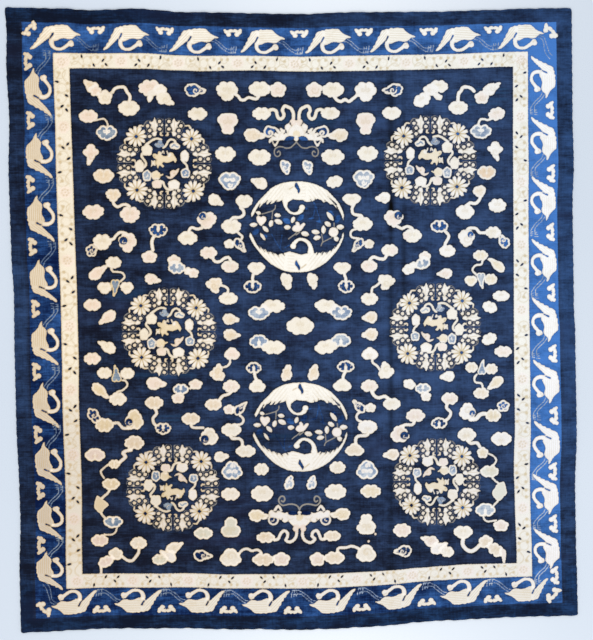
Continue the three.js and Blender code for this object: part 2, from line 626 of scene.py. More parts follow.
def outline(points, smooth_line=True):
    """The inside of a closed line."""
    path = curve(points, 3, closed=True) if smooth_line else np.array(points, float)

    def distance(x, y):
        nearest = np.full(np.shape(x), np.inf)
        inside = np.zeros(np.shape(x), bool)
        for a, b in zip(path, np.roll(path, -1, 0)):
            ex, ey = b - a
            size = ex * ex + ey * ey + TINY
            share = np.clip(((x - a[0]) * ex + (y - a[1]) * ey) / size, 0, 1)
            off = (x - a[0] - share * ex) ** 2 + (y - a[1] - share * ey) ** 2
            nearest = np.minimum(nearest, off)
            crosses = (a[1] > y) != (b[1] > y)
            rise = ey if abs(ey) >= TINY else TINY
            inside ^= crosses & (x < a[0] + (y - a[1]) * ex / rise)
        nearest = np.sqrt(nearest)
        return np.where(inside, -nearest, nearest)
    return distance


def ring(cx, cy, radius, width=0.8):
    def distance(x, y):
        return np.abs(np.hypot(x - cx, y - cy) - radius) - width / 2
    return distance


def disc(cx, cy, radius):
    def distance(x, y):
        return np.hypot(x - cx, y - cy) - radius
    return distance


def leaf(cx, cy, length, width, turn=0.0):
    """A leaf pointed at both ends, turned by degrees."""
    cosine = math.cos(math.radians(turn))
    sine = math.sin(math.radians(turn))
    radius = (length * length + width * width) / (4 * width)

    def distance(x, y):
        along = (x - cx) * cosine + (y - cy) * sine
        off = np.abs((y - cy) * cosine - (x - cx) * sine)
        return np.hypot(along, off + radius - width / 2) - radius
    return distance


def box_of(points, room=4.0):
    corners = np.array(points, float)
    x0, y0 = corners.min(0) - room
    x1, y1 = corners.max(0) + room
    return x0, y0, x1, y1


def stand(x0, y0, turn=0.0, reach=30.0, wide=1.0, high=1.0):
    """A patch with its origin at a photo pixel, turned by degrees and stretched or mirrored."""
    cut = window((x0 - reach, y0 - reach, x0 + reach, y0 + reach))
    dx = PX[cut] - x0
    dy = PY[cut] - y0
    cosine = math.cos(math.radians(turn))
    sine = math.sin(math.radians(turn))
    return Patch(cut, (dx * cosine + dy * sine) / wide, (dy * cosine - dx * sine) / high)


def photo_patch(box):
    """A patch whose axes are the photo's own."""
    cut = window(box)
    return Patch(cut, PX[cut], PY[cut])


# For each side: how far in from it, the photo pixels along it, and which way those count
DEPTH = {"left": S, "right": WIDE - S, "near": T, "far": LONG - T}
EDGE_AXIS = {"left": -PY, "right": PY, "near": -PX, "far": PX}
EDGE_WAY = {"left": -1, "right": 1, "near": -1, "far": 1}
# The strips that the cranes and the vine stand in, in millimetres from the edge
CRANE_STRIP = {"left": (66, 194), "right": (67, 203), "near": (66, 183), "far": (64, 179)}
VINE_STRIP = {
    "left": LEFT_BANDS[1:], "right": RIGHT_BANDS[1:], "near": NEAR_BANDS[1:], "far": FAR_BANDS[1:],
}
# How far a patch reaches from a strip's middle line, as a share of the strip
STRIP_REACH = 0.9


def edge_patch(side, place, strip, thickness, reach):
    """A patch on a band: x along the edge from a place, y inwards from the band's middle line."""
    x = EDGE_AXIS[side] - place * EDGE_WAY[side]
    outer, inner = strip[side]
    y = (DEPTH[side] - (outer + inner) / 2) / (inner - outer) * thickness
    near = (np.abs(x) < reach) & (np.abs(y) < STRIP_REACH * thickness)
    columns = np.flatnonzero(near.any(1))
    rows = np.flatnonzero(near.any(0))
    cut = (slice(columns[0], columns[-1] + 1), slice(rows[0], rows[-1] + 1))
    return Patch(cut, x[cut], y[cut])


# Clouds: each is a few round lobes, as shares of its width and height: x, y, half width, half height

CLOUD_KINDS = {
    "bean": [
        (-.31, 0, .19, .34), (.31, 0, .19, .34), (-.14, -.15, .21, .35), (.15, -.15, .21, .35),
        (-.13, .16, .22, .34), (.13, .16, .22, .34),
    ],
    "shield": [
        (-.17, -.17, .21, .32), (.17, -.17, .21, .32), (-.34, -.05, .16, .29), (.34, -.05, .16, .29),
        (-.16, .13, .21, .3), (.16, .13, .21, .3), (0, .27, .18, .22),
    ],
    "heart": [
        (-.17, -.2, .22, .29), (.17, -.2, .22, .29), (-.33, -.1, .17, .26), (.33, -.1, .17, .26),
        (-.13, .1, .23, .28), (.13, .1, .23, .28), (0, .28, .19, .22),
    ],
    "bulb": [
        (-.27, -.2, .22, .27), (-.1, -.28, .22, .23), (.1, -.28, .22, .23), (.27, -.2, .22, .27),
        (0, -.02, .34, .26), (0, .24, .31, .26),
    ],
    "comma": [
        (-.3, -.08, .2, .38), (-.06, -.18, .2, .31), (-.14, .14, .26, .35), (.13, 0, .19, .3),
        (.3, .05, .13, .2), (.42, .04, .08, .1),
    ],
    "trefoil": [
        (-.15, -.22, .2, .28), (.15, -.22, .2, .28), (-.33, -.14, .17, .24), (.33, -.14, .17, .24),
        (-.16, .1, .22, .26), (.16, .1, .22, .26), (0, .26, .22, .24),
    ],
    "drop": [
        (-.16, -.23, .28, .26), (.2, -.14, .27, .27), (.02, .04, .36, .28), (.16, .28, .25, .22),
    ],
    "bud": [
        (0, -.32, .27, .18), (-.3, -.14, .2, .15), (.3, -.14, .2, .15), (0, -.06, .34, .22),
        (-.02, .14, .22, .18), (-.13, .35, .13, .14),
    ],
    "dart": [
        (-.2, -.3, .28, .19), (.2, -.3, .28, .19), (0, -.1, .36, .2), (-.04, .15, .24, .2),
        (-.16, .38, .13, .12),
    ],
    "wedge": [
        (-.34, -.1, .17, .22), (.28, -.24, .22, .26), (-.05, -.24, .25, .25), (.02, .05, .32, .3),
        (.1, .3, .22, .2),
    ],
    "puff": [
        (0, 0, .36, .36), (0, -.24, .26, .26), (.24, -.07, .26, .26), (.15, .22, .26, .26),
        (-.15, .22, .26, .26), (-.24, -.07, .26, .26),
    ],
}
# How far each kind fills the corners between its lobes, in photo pixels
SOFT_JOIN = {
    "bean": 1.0, "shield": 1.8, "heart": 2.2, "bulb": 1.6, "comma": 2.2, "trefoil": 2.6, "drop": 2.0,
    "bud": 1.8, "dart": 1.4, "wedge": 2.2, "puff": 0.3,
}

# Each cloud: kind, x, y, width (under 0 when mirrored), height (under 0 when it stands on its head), yarn
# or filling, and turn
UPPER_LEFT_CLOUDS = [
    ("comma", 90.8, 86.2, 19, 12.5, "core", 215), ("puff", 95.6, 90.9, 12, 11, "peach"),
    ("puff", 104.9, 97.1, 15, 15, "cream"), ("shield", 128.8, 108.5, 21.5, 15.5, "cream"),
    ("bean", 88.3, 116.2, 19, 13, "peach"), ("shield", 106.6, 133, 21, 15.5, "pale"),
    ("bud", 90.8, 155, 16, 22, "peach"), ("shield", 103.6, 176.2, 21, 14.5, "core"),
    ("heart", 113.2, 195.5, 15, 13, "core"), ("shield", 130, 215, 20, 16.5, "peach"),
    ("shield", 93.4, 212.3, 21.5, 15, "peach", -5), ("shield", 102.2, 242.3, 18.5, 16.5, "cream"),
    ("puff", 91.5, 250.5, 12, 13, "royal"), ("heart", 127.5, 243, 18, 20, "peach"),
    ("bean", 113.5, 262.7, 16, 12, "cream"), ("comma", 98.5, 272, 22, 11.5, "peach", -40),
    ("heart", 104.8, 288.2, 15, 12, "cream"), ("dart", 115.3, 288, 9.5, 17.5, "grey"),
    ("heart", 126.8, 288, 13.5, 12, "cream"), ("bean", 92.3, 305, 17.5, 12, "peach"),
    ("bean", 150, 88, 23, 16, "peach"), ("puff", 161, 91, 12, 14, "cream"),
    ("comma", 165.5, 99.3, 20, 13.5, "cream", 28),
    ("comma", 195.5, 90.3, 22, 14, "royal"), ("heart", 227, 91.5, 21.5, 20, "cream"),
    ("bean", 259.7, 89, 22, 15, "cream"), ("puff", 277.8, 89.5, 17, 15.5, "peach"),
    ("bean", 197.5, 114, 19.5, 12.5, "cream"), ("bulb", 227.8, 124, 21, 21, "peach"),
    ("bean", 261.5, 113.6, 18.5, 12.5, "cream"), ("comma", 255, 135.3, 22, 14, "core"),
    ("shield", 225.4, 154.5, 20.5, 15.8, "cream"), ("shield", 259.5, 157.5, 22.5, 16.5, "cream"),
    ("trefoil", 229.6, 181.3, 22.5, 18.5, "pale"), ("drop", 285, 167.3, 12, 15, "pale"),
    ("comma", 258.8, 182.6, 17.5, 12, "cream", 196), ("comma", 216.1, 200.7, 16.5, 12, "cream", 22),
    ("shield", 244.2, 201.5, 17, 13.5, "cream"), ("shield", 231.3, 226.8, 20, 14.5, "cream"),
    ("puff", 229.3, 243.8, 11, 9.5, "cream"), ("comma", 240.2, 245.6, 17.5, 9.5, "royal", 48),
    ("heart", 206.8, 220.6, 19.5, 17.5, "peach"), ("bean", 187.7, 238.1, 19.5, 13.5, "cream"),
    ("shield", 158.2, 230.6, 19, 14, "royal"), ("puff", 149.3, 256.8, 16, 12.5, "peach"),
    ("puff", 174, 260.6, 13.5, 12, "peach"), ("bean", 176.8, 268, 17.5, 12, "pale"),
    ("puff", 188, 271, 9, 8, "cream"), ("puff", 193.5, 273, 11, 10, "peach"),
    ("comma", 152.9, 279.4, 16.5, 11, "peach", 8), ("bean", 208.6, 252.9, 17, 12, "peach"),
    ("shield", 230, 266.8, 17.5, 12, "peach"), ("heart", 256.4, 268.5, 17.5, 12.5, "cream"),
    ("shield", 252.6, 287, 18, 13, "royal"), ("drop", 286.1, 281.3, 13, 17, "cream"),
    ("wedge", 214, 285.7, 16.5, 15.5, "core"), ("bean", 228.3, 298.6, 19, 12, "cream"),
    ("bean", 273, 306.3, 24, 13, "cream"), ("shield", 259, 313.3, 22, 14.5, "pale"),
]
UPPER_RIGHT_CLOUDS = [
    ("puff", 314.2, 89.6, 16.5, 15.5, "peach"), ("bean", 333, 89.8, 22, 15, "cream"),
    ("heart", 365.6, 92, 21.5, 20, "ivory"), ("comma", 392.4, 90, -21, 13.5, "royal"),
    ("bean", 438.5, 86.5, 19, 12.5, "cream"), ("puff", 430, 90, 14, 12, "ivory"),
    ("bean", 422, 100, 18, 13, "ivory", -30), ("puff", 438.5, 97, 8, 6, "cream"),
    ("shield", 391.6, 113.4, 19, 13, "cream"), ("bean", 330.3, 113.4, 19, 12, "cream"),
    ("bulb", 365.6, 124, 19.5, 21.5, "peach"), ("comma", 337.5, 135.3, -21, 13.5, "core"),
    ("shield", 367.7, 154, 20.5, 15.5, "cream"), ("shield", 332.8, 157.3, 23, 16, "cream"),
    ("comma", 492, 88.3, 20, 11.5, "ivory", -35), ("puff", 481.8, 97.4, 14.5, 13, "peach"),
    ("shield", 458.2, 108, 19.5, 13.5, "cream"), ("bean", 496.7, 114, 17, 12.5, "peach", -15),
    ("shield", 481, 131.7, 21.5, 14.5, "pale"), ("bud", 495.2, 151.5, -15.5, 20, "ivory"),
    ("drop", 307.4, 167.5, 12, 15, "pale"), ("bean", 334.6, 181.8, 16.5, 11.5, "cream", -15),
    ("trefoil", 363.6, 179.3, 21.5, 18.5, "pale"), ("heart", 351.7, 199.7, 18.5, 12, "cream"),
    ("bean", 362.7, 224, 20, 13.5, "cream"), ("comma", 357.6, 245.4, 17, -9.5, "royal", 132),
    ("puff", 369, 243.8, 10.5, 9.5, "cream"), ("comma", 382.7, 197.8, -15, 11.5, "ivory"),
    ("heart", 393.7, 218.8, 19, 17, "peach"), ("shield", 412.3, 236, 19, 13.5, "cream"),
    ("bean", 389.8, 250.3, 16.5, 12, "cream"), ("shield", 369.2, 266.5, 16.5, 12, "peach"),
    ("heart", 342.3, 268.3, 17.5, 12, "cream"), ("shield", 346.2, 286.8, 16.5, 13, "royal"),
    ("drop", 312.1, 281, 12, 16.5, "cream"), ("wedge", 386.5, 282.5, -17, 15.5, "cream"),
    ("shield", 369.5, 299.2, 17, 12.5, "cream"), ("bean", 326.6, 306.3, 24, 13, "cream", 8),
    ("shield", 341.3, 313, 21.5, 15, "pale"), ("puff", 425, 257, 12, 12, "peach"),
    ("bean", 422.5, 263.7, 16, 11, "pale", -15), ("puff", 413.5, 265, 8, 7, "cream"),
    ("puff", 408.5, 269.3, 13, 10.5, "ivory", -20), ("bean", 439.4, 226.3, 17.5, 12.5, "royal"),
    ("bean", 447.4, 251, 16, 12, "ivory"), ("comma", 444.4, 273.7, -15.5, 10.5, "peach"),
    ("shield", 486.6, 172.8, 18.5, 14, "amber"), ("heart", 479.7, 191.7, 13, 12, "core", -15),
    ("shield", 465, 212.3, 18.5, 14.5, "ivory"), ("bean", 497.3, 205.6, 17.5, 13.5, "ivory"),
    ("trefoil", 466.5, 238.4, 16.5, 17, "ivory"), ("bean", 493.2, 232.4, 15.5, 11.5, "cream"),
    ("comma", 503.2, 240.6, 16.5, 11, "royal", 232), ("bean", 480.5, 255.5, 15, 10.5, "straw"),
    ("comma", 496.5, 264.6, 20, 9.5, "straw", 218), ("heart", 470.9, 281, 12.5, 10.5, "straw"),
    ("dart", 481, 280.8, -9, 16.5, "pale"), ("bean", 490.7, 279.3, 13, 11, "straw"),
    ("bean", 501.1, 296, 17, 10.5, "ivory"), ("bean", 489.8, 307.1, 15, 11, "ivory", 20),
]
LOWER_LEFT_CLOUDS = [
    ("comma", 107, 318, 20.5, -11.5, "peach", 148), ("comma", 106.6, 346.3, 20, 11.5, "cream", 206),
    ("bean", 92.3, 358.7, 17, 12, "peach"), ("bean", 104.5, 373, 15, 11.5, "cream"),
    ("dart", 116.5, 373.5, 10.5, -17.5, "grey"), ("bean", 127.4, 373.5, 14, 11.5, "cream"),
    ("bean", 117.8, 399.1, 17.5, 13, "cream"), ("comma", 100.8, 391.4, 22, 11, "straw", 38),
    ("puff", 93.6, 415.4, 12, 17, "royal", -35), ("bean", 104.3, 425, 18.5, -14, "straw"),
    ("trefoil", 134.2, 419.2, 18.5, -20.5, "straw"), ("shield", 134.3, 442.5, 19.6, -14.5, "core"),
    ("bean", 114.2, 464.2, 11.5, 9, "straw"), ("shield", 95, 454.6, 20.5, -13.5, "peach"),
    ("comma", 231.3, 319.3, 17, 11.5, "core"), ("comma", 232, 334.9, 17, 12, "core"),
    ("bean", 300.2, 326, 27.5, 17.5, "cream"), ("shield", 259, 341.2, 19.5, -14, "pale"),
    ("bean", 273.5, 347.3, 23.5, -13.5, "cream"), ("heart", 232, 353.5, 15.5, -12.5, "peach"),
    ("wedge", 217.4, 372.2, 15, -17, "core"), ("shield", 253.8, 367.5, 15.5, -11.5, "royal"),
    ("heart", 257.3, 385.7, 16.5, -13, "cream"), ("drop", 286.4, 372.8, 12, -17, "core"),
    ("comma", 156.7, 383.6, 20.5, 13.5, "peach"), ("puff", 195.6, 384.3, 14, 10.5, "peach"),
    ("bean", 180.8, 389.3, 16, 11, "pale"), ("puff", 178, 398, 13, 11, "peach"),
    ("bean", 154.2, 402.7, 18.5, -12.5, "core"), ("shield", 163.1, 428.8, 16, 12, "royal"),
    ("shield", 231.2, 386, 17, -12.5, "peach"), ("bean", 213.4, 404.6, 17, -11.5, "core"),
    ("puff", 229.3, 409.4, 12, 10, "peach"), ("comma", 240.8, 408, 17.5, -9.5, "royal", -42),
    ("bean", 231.3, 429.8, 20, 13, "cream"), ("bean", 245.7, 451.1, 20, -12, "cream"),
    ("bean", 190.8, 418.8, 18.5, 12, "core"), ("trefoil", 209, 436, 18.5, -17.5, "cream"),
    ("comma", 221.7, 456.7, 15, -11, "cream"), ("bean", 261.5, 469.3, 14.5, 12, "cream"),
    ("trefoil", 232, 470, 21, -18.5, "pale"),
]
LOWER_RIGHT_CLOUDS = [
    ("comma", 369.5, 317.4, -15.5, 12.5, "core"), ("comma", 369.5, 334.5, -16.5, 13, "core"),
    ("shield", 341, 340, 20, -14, "pale"), ("bean", 326, 347, 23, 13.5, "cream", -10),
    ("heart", 369.9, 353.5, 16.5, -12.5, "ivory"), ("wedge", 386.2, 370, -15.5, -17, "cream"),
    ("shield", 345.7, 366.2, 17.5, -12, "royal"), ("heart", 342.2, 385, 18.5, -12.5, "cream"),
    ("drop", 313.2, 372.5, 12.3, -17, "core"), ("shield", 369.5, 385.7, 17, -12.5, "peach"),
    ("bean", 391.8, 403.9, 17.5, 12, "cream"), ("puff", 409.4, 384, 13, 10, "ivory", 20),
    ("bean", 423, 388.5, 16, 10.5, "pale"), ("puff", 426, 396.2, 10.5, 10, "ivory"),
    ("comma", 447, 376.5, -15, 11, "ivory"), ("comma", 358.6, 406, 17, 9.5, "royal", 222),
    ("puff", 370.5, 407.6, 11, 9.5, "cream"), ("bean", 367.5, 426.9, 19.5, -13.5, "ivory"),
    ("heart", 354.6, 449.6, 19, -12.5, "core"), ("shield", 415.5, 415.2, 19, -13, "peach"),
    ("trefoil", 399.8, 433.5, -18.5, -17, "peach"), ("comma", 390.8, 454.7, -16.5, 11.5, "core"),
    ("trefoil", 367, 469.5, 21.5, -19, "pale"), ("bean", 337.5, 467.5, 16, 12, "cream"),
    ("bean", 449.8, 398.6, 16.5, -12, "peach"), ("shield", 439.1, 422.9, 16, -11.5, "royal"),
    ("bean", 489.3, 339, 15.5, 11, "ivory", -25), ("bean", 503.2, 351.5, 17.5, -11, "peach"),
    ("bean", 471.6, 367.4, 12.5, 10.5, "core"), ("dart", 481.9, 367.1, -9, -15.5, "pale"),
    ("bean", 491.3, 369, 13, 10.5, "core"), ("bean", 481.2, 393.3, 15.5, 11, "core"),
    ("comma", 495, 383.5, 19, 10.5, "straw", 138), ("trefoil", 467.6, 411, 16.5, -17, "ivory"),
    ("bean", 493.2, 415.5, 15.5, -12.5, "straw"), ("puff", 503.3, 405.9, 13, 12, "royal"),
    ("shield", 466.8, 434.3, 18.5, -13.5, "cream"), ("puff", 482.7, 452.6, 11.5, 11.5, "straw"),
    ("bean", 489.5, 471.5, 18.5, 12, "sage"), ("bean", 501.4, 438.8, 20.5, -13.5, "ivory"),
]
NEAR_CLOUDS = [
    ("shield", 111, 484.4, 17.8, 12, "straw"), ("shield", 113.1, 522.2, 19.6, 12.4, "pale"),
    ("bean", 99.8, 540.4, 17.3, 12.1, "peach"), ("shield", 138.6, 542.8, 16.8, -12.4, "cream"),
    ("puff", 115.7, 553.9, 14.5, 12.9, "cream"), ("bean", 105.9, 561.7, 16, 11, "peach", -25),
    ("bean", 230.4, 494.2, 18.6, 12.7, "cream"), ("bean", 262.1, 493.7, 22.2, 15.8, "cream"),
    ("drop", 288.9, 482.5, 11, -14.5, "pale"), ("bulb", 230.9, 527, 20.1, -19.9, "sage"),
    ("bean", 203.3, 533.3, 19, -11.9, "sage"), ("comma", 174.9, 547.3, 19, 11.5, "cream", -32),
    ("comma", 167.6, 555.5, 19, 10.5, "ivory", 206), ("bean", 159.7, 559.6, 15.2, 10.8, "sage"),
    ("comma", 203.2, 555.7, 19.6, 11.9, "royal"), ("trefoil", 230.6, 557, 21.7, -18, "cream"),
    ("puff", 281.3, 559.1, 17.8, 14.1, "peach"), ("bean", 263.1, 559.6, 21.7, 12.4, "core"),
    ("bean", 265.7, 537.5, 18.6, 10.6, "core"), ("comma", 259, 515.8, 20.5, 12.5, "straw"),
    ("bean", 332.3, 536, 17, 10.5, "core"), ("comma", 340, 514.4, -20.5, 12.5, "straw"),
    ("drop", 311.4, 482.5, 11, -14.5, "pale"), ("bean", 335.5, 491.8, 21.5, 15.2, "cream"),
    ("bean", 370.7, 491.2, 20.5, 12.9, "straw"), ("bulb", 366.4, 523.9, 19.5, -20.1, "cream"),
    ("bean", 402.2, 530.2, 17.8, -13.4, "peach"), ("comma", 402.5, 551.2, -18.5, 12.4, "royal"),
    ("comma", 429.6, 540.8, 19, 11.8, "peach", 198), ("comma", 439.5, 547.5, 19, 10.5, "ivory", -34),
    ("bean", 447, 551.6, 14, 10.8, "cream", 10), ("trefoil", 366.2, 553, 20, -17.4, "cream"),
    ("puff", 317.5, 559.1, 15.8, 14, "peach"), ("bean", 334.6, 557.8, 20.1, 12.7, "core"),
    ("shield", 485.3, 509.6, 20.1, -13.6, "pale"), ("puff", 501, 525.5, 15.7, 11.8, "peach"),
    ("shield", 463.2, 532.3, 19.1, 13.1, "cream"), ("puff", 485.9, 541.5, 14.5, 13.4, "core"),
    ("bean", 495.7, 549.8, 18, 12, "core", 35),
]

# Ribbons between the clouds: width, and the pixels they run through
RIBBONS = [
    (3.2, [(112.2, 92.5), (115, 88.5), (120, 87), (124.5, 87.5), (127, 92), (130, 96.5), (129, 103)]),
    (1.8, [(95, 120.5), (99, 119.5), (103, 118.7), (106, 120.5), (107.5, 124), (107.8, 128)]),
    (3.0, [(113, 201.5), (114.5, 205), (118, 206.8), (122, 205), (126, 204.5), (129.5, 206.5)]),
    (3.0, [(111, 239.5), (113.5, 239), (116.5, 235), (120, 232.5), (125, 233), (129.5, 236)]),
    (2.0, [(111, 268.5), (113, 271.5), (118, 272), (122.5, 273), (124.5, 277), (120.5, 281.5)]),
    (3.0, [(234, 93.5), (238, 96), (240.5, 99.5), (244.5, 100), (248.5, 97.5), (256, 99), (259, 96)]),
    (3.0, [(240.5, 207.5), (243.5, 211), (243.5, 215), (239, 217.5), (233.5, 217.5), (230, 220.5)]),
    (2.4, [(236.5, 231), (239.5, 234), (242.3, 236.5), (241.5, 239)]),
    (3.0, [(202, 228), (197, 229), (192, 227.5), (189.5, 229.5), (188.5, 232.5)]),
    (3.4, [(153.5, 237), (152, 241), (152, 245), (153, 250)]),
    (3.0, [(212.5, 258), (215, 261.5), (220, 261.5), (224, 258.5), (228.5, 257.5), (231, 261)]),
    (3.0, [(253.5, 274), (252.5, 278), (253, 281.5)]),
    (2.4, [(221.5, 285.5), (225, 286.5), (227.8, 289), (228, 293)]),
    (3.2, [(333.5, 96), (337, 100), (341, 101.5), (345, 99.5), (349, 101.5), (353, 98.5), (357.5, 95)]),
    (3.4, [(474, 91), (471.5, 88.5), (467, 87), (463, 87.5), (461, 91), (458.5, 94), (458, 102)]),
    (2.2, [(492, 118.5), (488, 120), (484, 119), (480.5, 119.5), (478.7, 123), (479, 127)]),
    (3.0, [(353.5, 205), (352, 209), (353, 213.5), (357, 215), (361, 215.5), (363, 218.5)]),
    (2.2, [(356.5, 229), (352, 230.5), (350.5, 234.5), (352.5, 237.5), (358, 238.5)]),
    (3.0, [(397.5, 226.5), (402, 228.5), (406.5, 226.5), (411, 227.5), (413.5, 231)]),
    (3.2, [(386.5, 255.5), (384, 259), (378.5, 258.5), (373, 257), (369.5, 260.5)]),
    (3.0, [(344, 273.5), (345.5, 277.5), (346, 281)]),
    (2.4, [(380, 282.5), (376, 286), (372.5, 288), (371.5, 293)]),
    (3.0, [(445, 231), (448.5, 235), (448.5, 238), (445.5, 243), (445, 247)]),
    (3.2, [(480.5, 197), (478.5, 201), (475, 203.5), (470, 203), (466, 206)]),
    (3.0, [(466.5, 231.5), (468.5, 228.5), (473, 228), (476.5, 229), (479.5, 232.5), (485, 232.8)]),
    (2.0, [(482.5, 261), (481, 264.5), (476.5, 265), (473, 268), (473, 271.5), (477, 275)]),
    (2.0, [(488.5, 259.5), (492, 261.5)]),
    (2.0, [(122.4, 380.2), (126, 381.3), (127.3, 385.4), (122.9, 390), (117.8, 391.6), (116.7, 393.2)]),
    (3.0, [(113.6, 423.1), (118.3, 423.1), (120.9, 426.2), (123.5, 428.3), (129.1, 428.3)]),
    (3.4, [(131.2, 450), (126, 451), (122.9, 453.1), (125.5, 456.7), (121.4, 460.8), (118.8, 462.9)]),
    (2.0, [(108.5, 464.4), (103.8, 468), (100.7, 472), (104, 478)]),
    (2.2, [(230, 359.8), (230, 362.7), (227.5, 365.8), (223.9, 367.3)]),
    (3.0, [(254.3, 372), (254.9, 376.1), (256.4, 379.7)]),
    (2.2, [(190.3, 388.5), (193, 386)]),
    (3.0, [(154.6, 408.1), (156.7, 413.3), (153.1, 418), (153.6, 422.6), (156.2, 425.7)]),
    (3.0, [(231.6, 391.6), (228.5, 394.2), (223.3, 395.7), (220.2, 398.8), (218.7, 401.4)]),
    (2.4, [(239.9, 415.4), (243.5, 419.5), (241.9, 423.6), (237.8, 424.7)]),
    (3.0, [(230.6, 436), (232.6, 438.6), (238.8, 438.6), (242.1, 441.2), (242.3, 445.3)]),
    (2.6, [(190.8, 424.7), (192.4, 427.3), (197.5, 427.8), (203.2, 427.8)]),
    (2.4, [(372.3, 358.6), (372.8, 362.7), (377, 365.8), (379.5, 369.4)]),
    (3.0, [(345.5, 371.5), (343.4, 375.6), (342.9, 379.2)]),
    (3.4, [(371.8, 391.1), (373.9, 395.2), (378.5, 397.8), (384.7, 396.3), (388.3, 398.8)]),
    (2.4, [(359.4, 412.3), (356.6, 415.4), (357.3, 419.5), (362, 422.1)]),
    (3.2, [(368.2, 433.4), (366.1, 435.5), (358.9, 436), (355.8, 438.6), (355.8, 443.3)]),
    (3.0, [(414.7, 421.4), (412, 424.7), (405.4, 424.7), (401.2, 426.7)]),
    (3.0, [(447.1, 404), (446.6, 408.1), (450.7, 412.3), (449.2, 417.4), (445, 421)]),
    (2.0, [(476.6, 374.6), (474.5, 377.7), (475.5, 382.3), (481.2, 383.3), (482.8, 387.5)]),
    (4.0, [(470.4, 419.5), (476, 419), (479.2, 415.4), (482.8, 413.8), (485.9, 413.8)]),
    (3.2, [(467.3, 440.4), (470.9, 443.3), (476.6, 442.7), (479.7, 446.4)]),
    (1.8, [(488.5, 453.6), (493.6, 456.2), (496.2, 459.8), (494.7, 463.9), (491.6, 466)]),
    (2.5, [(109.5, 490.4), (107.4, 493.5), (104.3, 496.1), (102.3, 498.1)]),
    (2.2, [(100.7, 512.6), (103.3, 516.2), (105.4, 518.3)]),
    (1.8, [(116.7, 528.6), (115.7, 531.7), (112.6, 534.3), (108.5, 534.8), (104.3, 534.3)]),
    (3.0, [(138.9, 549.3), (138.4, 552.9), (135.3, 557.5), (132.2, 560.6), (128.1, 560.6),
           (124, 558), (121.9, 556)]),
    (2.5, [(100.7, 567), (101.2, 569), (101.2, 573)]),
    (2.6, [(238.3, 555), (241.9, 550.3), (247.1, 548.8), (251.8, 550.8), (257.4, 549.8),
           (261.1, 552.4), (261.1, 555)]),
    (3.0, [(274.5, 540), (278.1, 539), (279.6, 535.9), (281.2, 532.8), (284.3, 530.7), (287.4, 532.8),
           (287.4, 536.9), (285.8, 540), (289.5, 542), (293.6, 540), (296.2, 535.9), (296.7, 530.7)]),
    (3.0, [(324.8, 539), (321.2, 539), (319.6, 535.3), (317, 530.7), (313.4, 531.7), (311.9, 535.9),
           (315, 539), (310.8, 542.6), (305.2, 540.5), (302.6, 535.9), (302.6, 531.7)]),
    (2.8, [(361, 550.3), (356.8, 547.7), (351.7, 546.2), (345.5, 547.7), (340.3, 547.7),
           (337.7, 549.3), (337.7, 552.4)]),
    (1.8, [(492.1, 478), (495.7, 481.1), (499.3, 483.7)]),
    (2.0, [(497.8, 501.2), (494.7, 504.3), (492.6, 506.9)]),
    (1.8, [(483.3, 516.2), (484.3, 519.3), (487.4, 521.4), (492.6, 520.9), (496.2, 520.4)]),
    (3.9, [(463.1, 539), (462.6, 544.1), (465.2, 548.2), (468.8, 550.8), (473, 550.8),
           (477.1, 547.7), (479.7, 545.1)]),
]

# A filled cloud: its rim's yarn and how far in that starts; the filling's wool and how far in it starts
FILLINGS = {
    "pale": ("ivory", 1.5, "pale", 1.8), "royal": ("ivory", 1.5, "royal", 1.8),
    "grey": ("straw", 0.0, "pale", 1.1),
}
# How far in an unfilled cloud's own yarn starts, and a dart's filling
PLAIN_RIM = 1.5
DART_RIM = 1.1

# A single curl, and half of a pair that hangs from the notch, in shares of a cloud's lesser size
CURL = [
    (0.3, -0.02), (0.24, 0.17), (0.03, 0.24), (-0.12, 0.12), (-0.1, -0.05), (0.04, -0.07), (0.08, 0.04),
]
PAIRED_CURL = [
    (0.0, -0.38), (0.02, -0.16), (0.09, 0.02), (0.22, 0.03), (0.29, -0.08), (0.21, -0.17), (0.14, -0.1),
]
CURL_WIDTH = 0.1
PAIRED_SIZE = 0.7
PAIRED_RISE = 0.06
PAIRED_WIDTH = 0.08
# Small filled clouds have a short stem instead: top, foot, and the width at each
STEM = (-0.42, -0.1, 0.12, 0.27)
STEM_BELOW = 14.2
# The trefoil's curls, one to a lobe: way round, and place as shares of its width and height
TREFOIL_CURLS = [(1, -0.17, -0.12), (-1, 0.17, -0.12), (1, 0.0, 0.18)]
TREFOIL_SIZE = 0.5
TREFOIL_WIDTH = 0.09
# Unfilled clouds larger than this have their curl drawn as a fine line, this deep
DRAWN_ABOVE = 9
DRAWN_DEPTH = 0.26

PAIRED_KINDS = ("bean", "shield", "heart", "bulb")
SCALLOPED = ("bean", "shield", "heart", "bulb", "trefoil", "drop", "wedge", "comma", "bud")

# Scallops: how many, how deep, how level, and how much less the dip on top is, over how wide an angle
BUMPS = 7
DIP = 0.065
DIP_LEVEL = 0.2
TOP_LESS = 0.9
TOP_ANGLE = 0.4
# They lean and deepen by a cloud's size, so that no two are alike: by how much, and turns for each pixel
LEAN = (0.25, 7.3, 3.1)
DEEPEN = (0.02, 5.7, -2.3)

# How far a cloud's patch reaches: a share of its greater size, and photo pixels more
CLOUD_REACH = 0.8
CLOUD_ROOM = 4


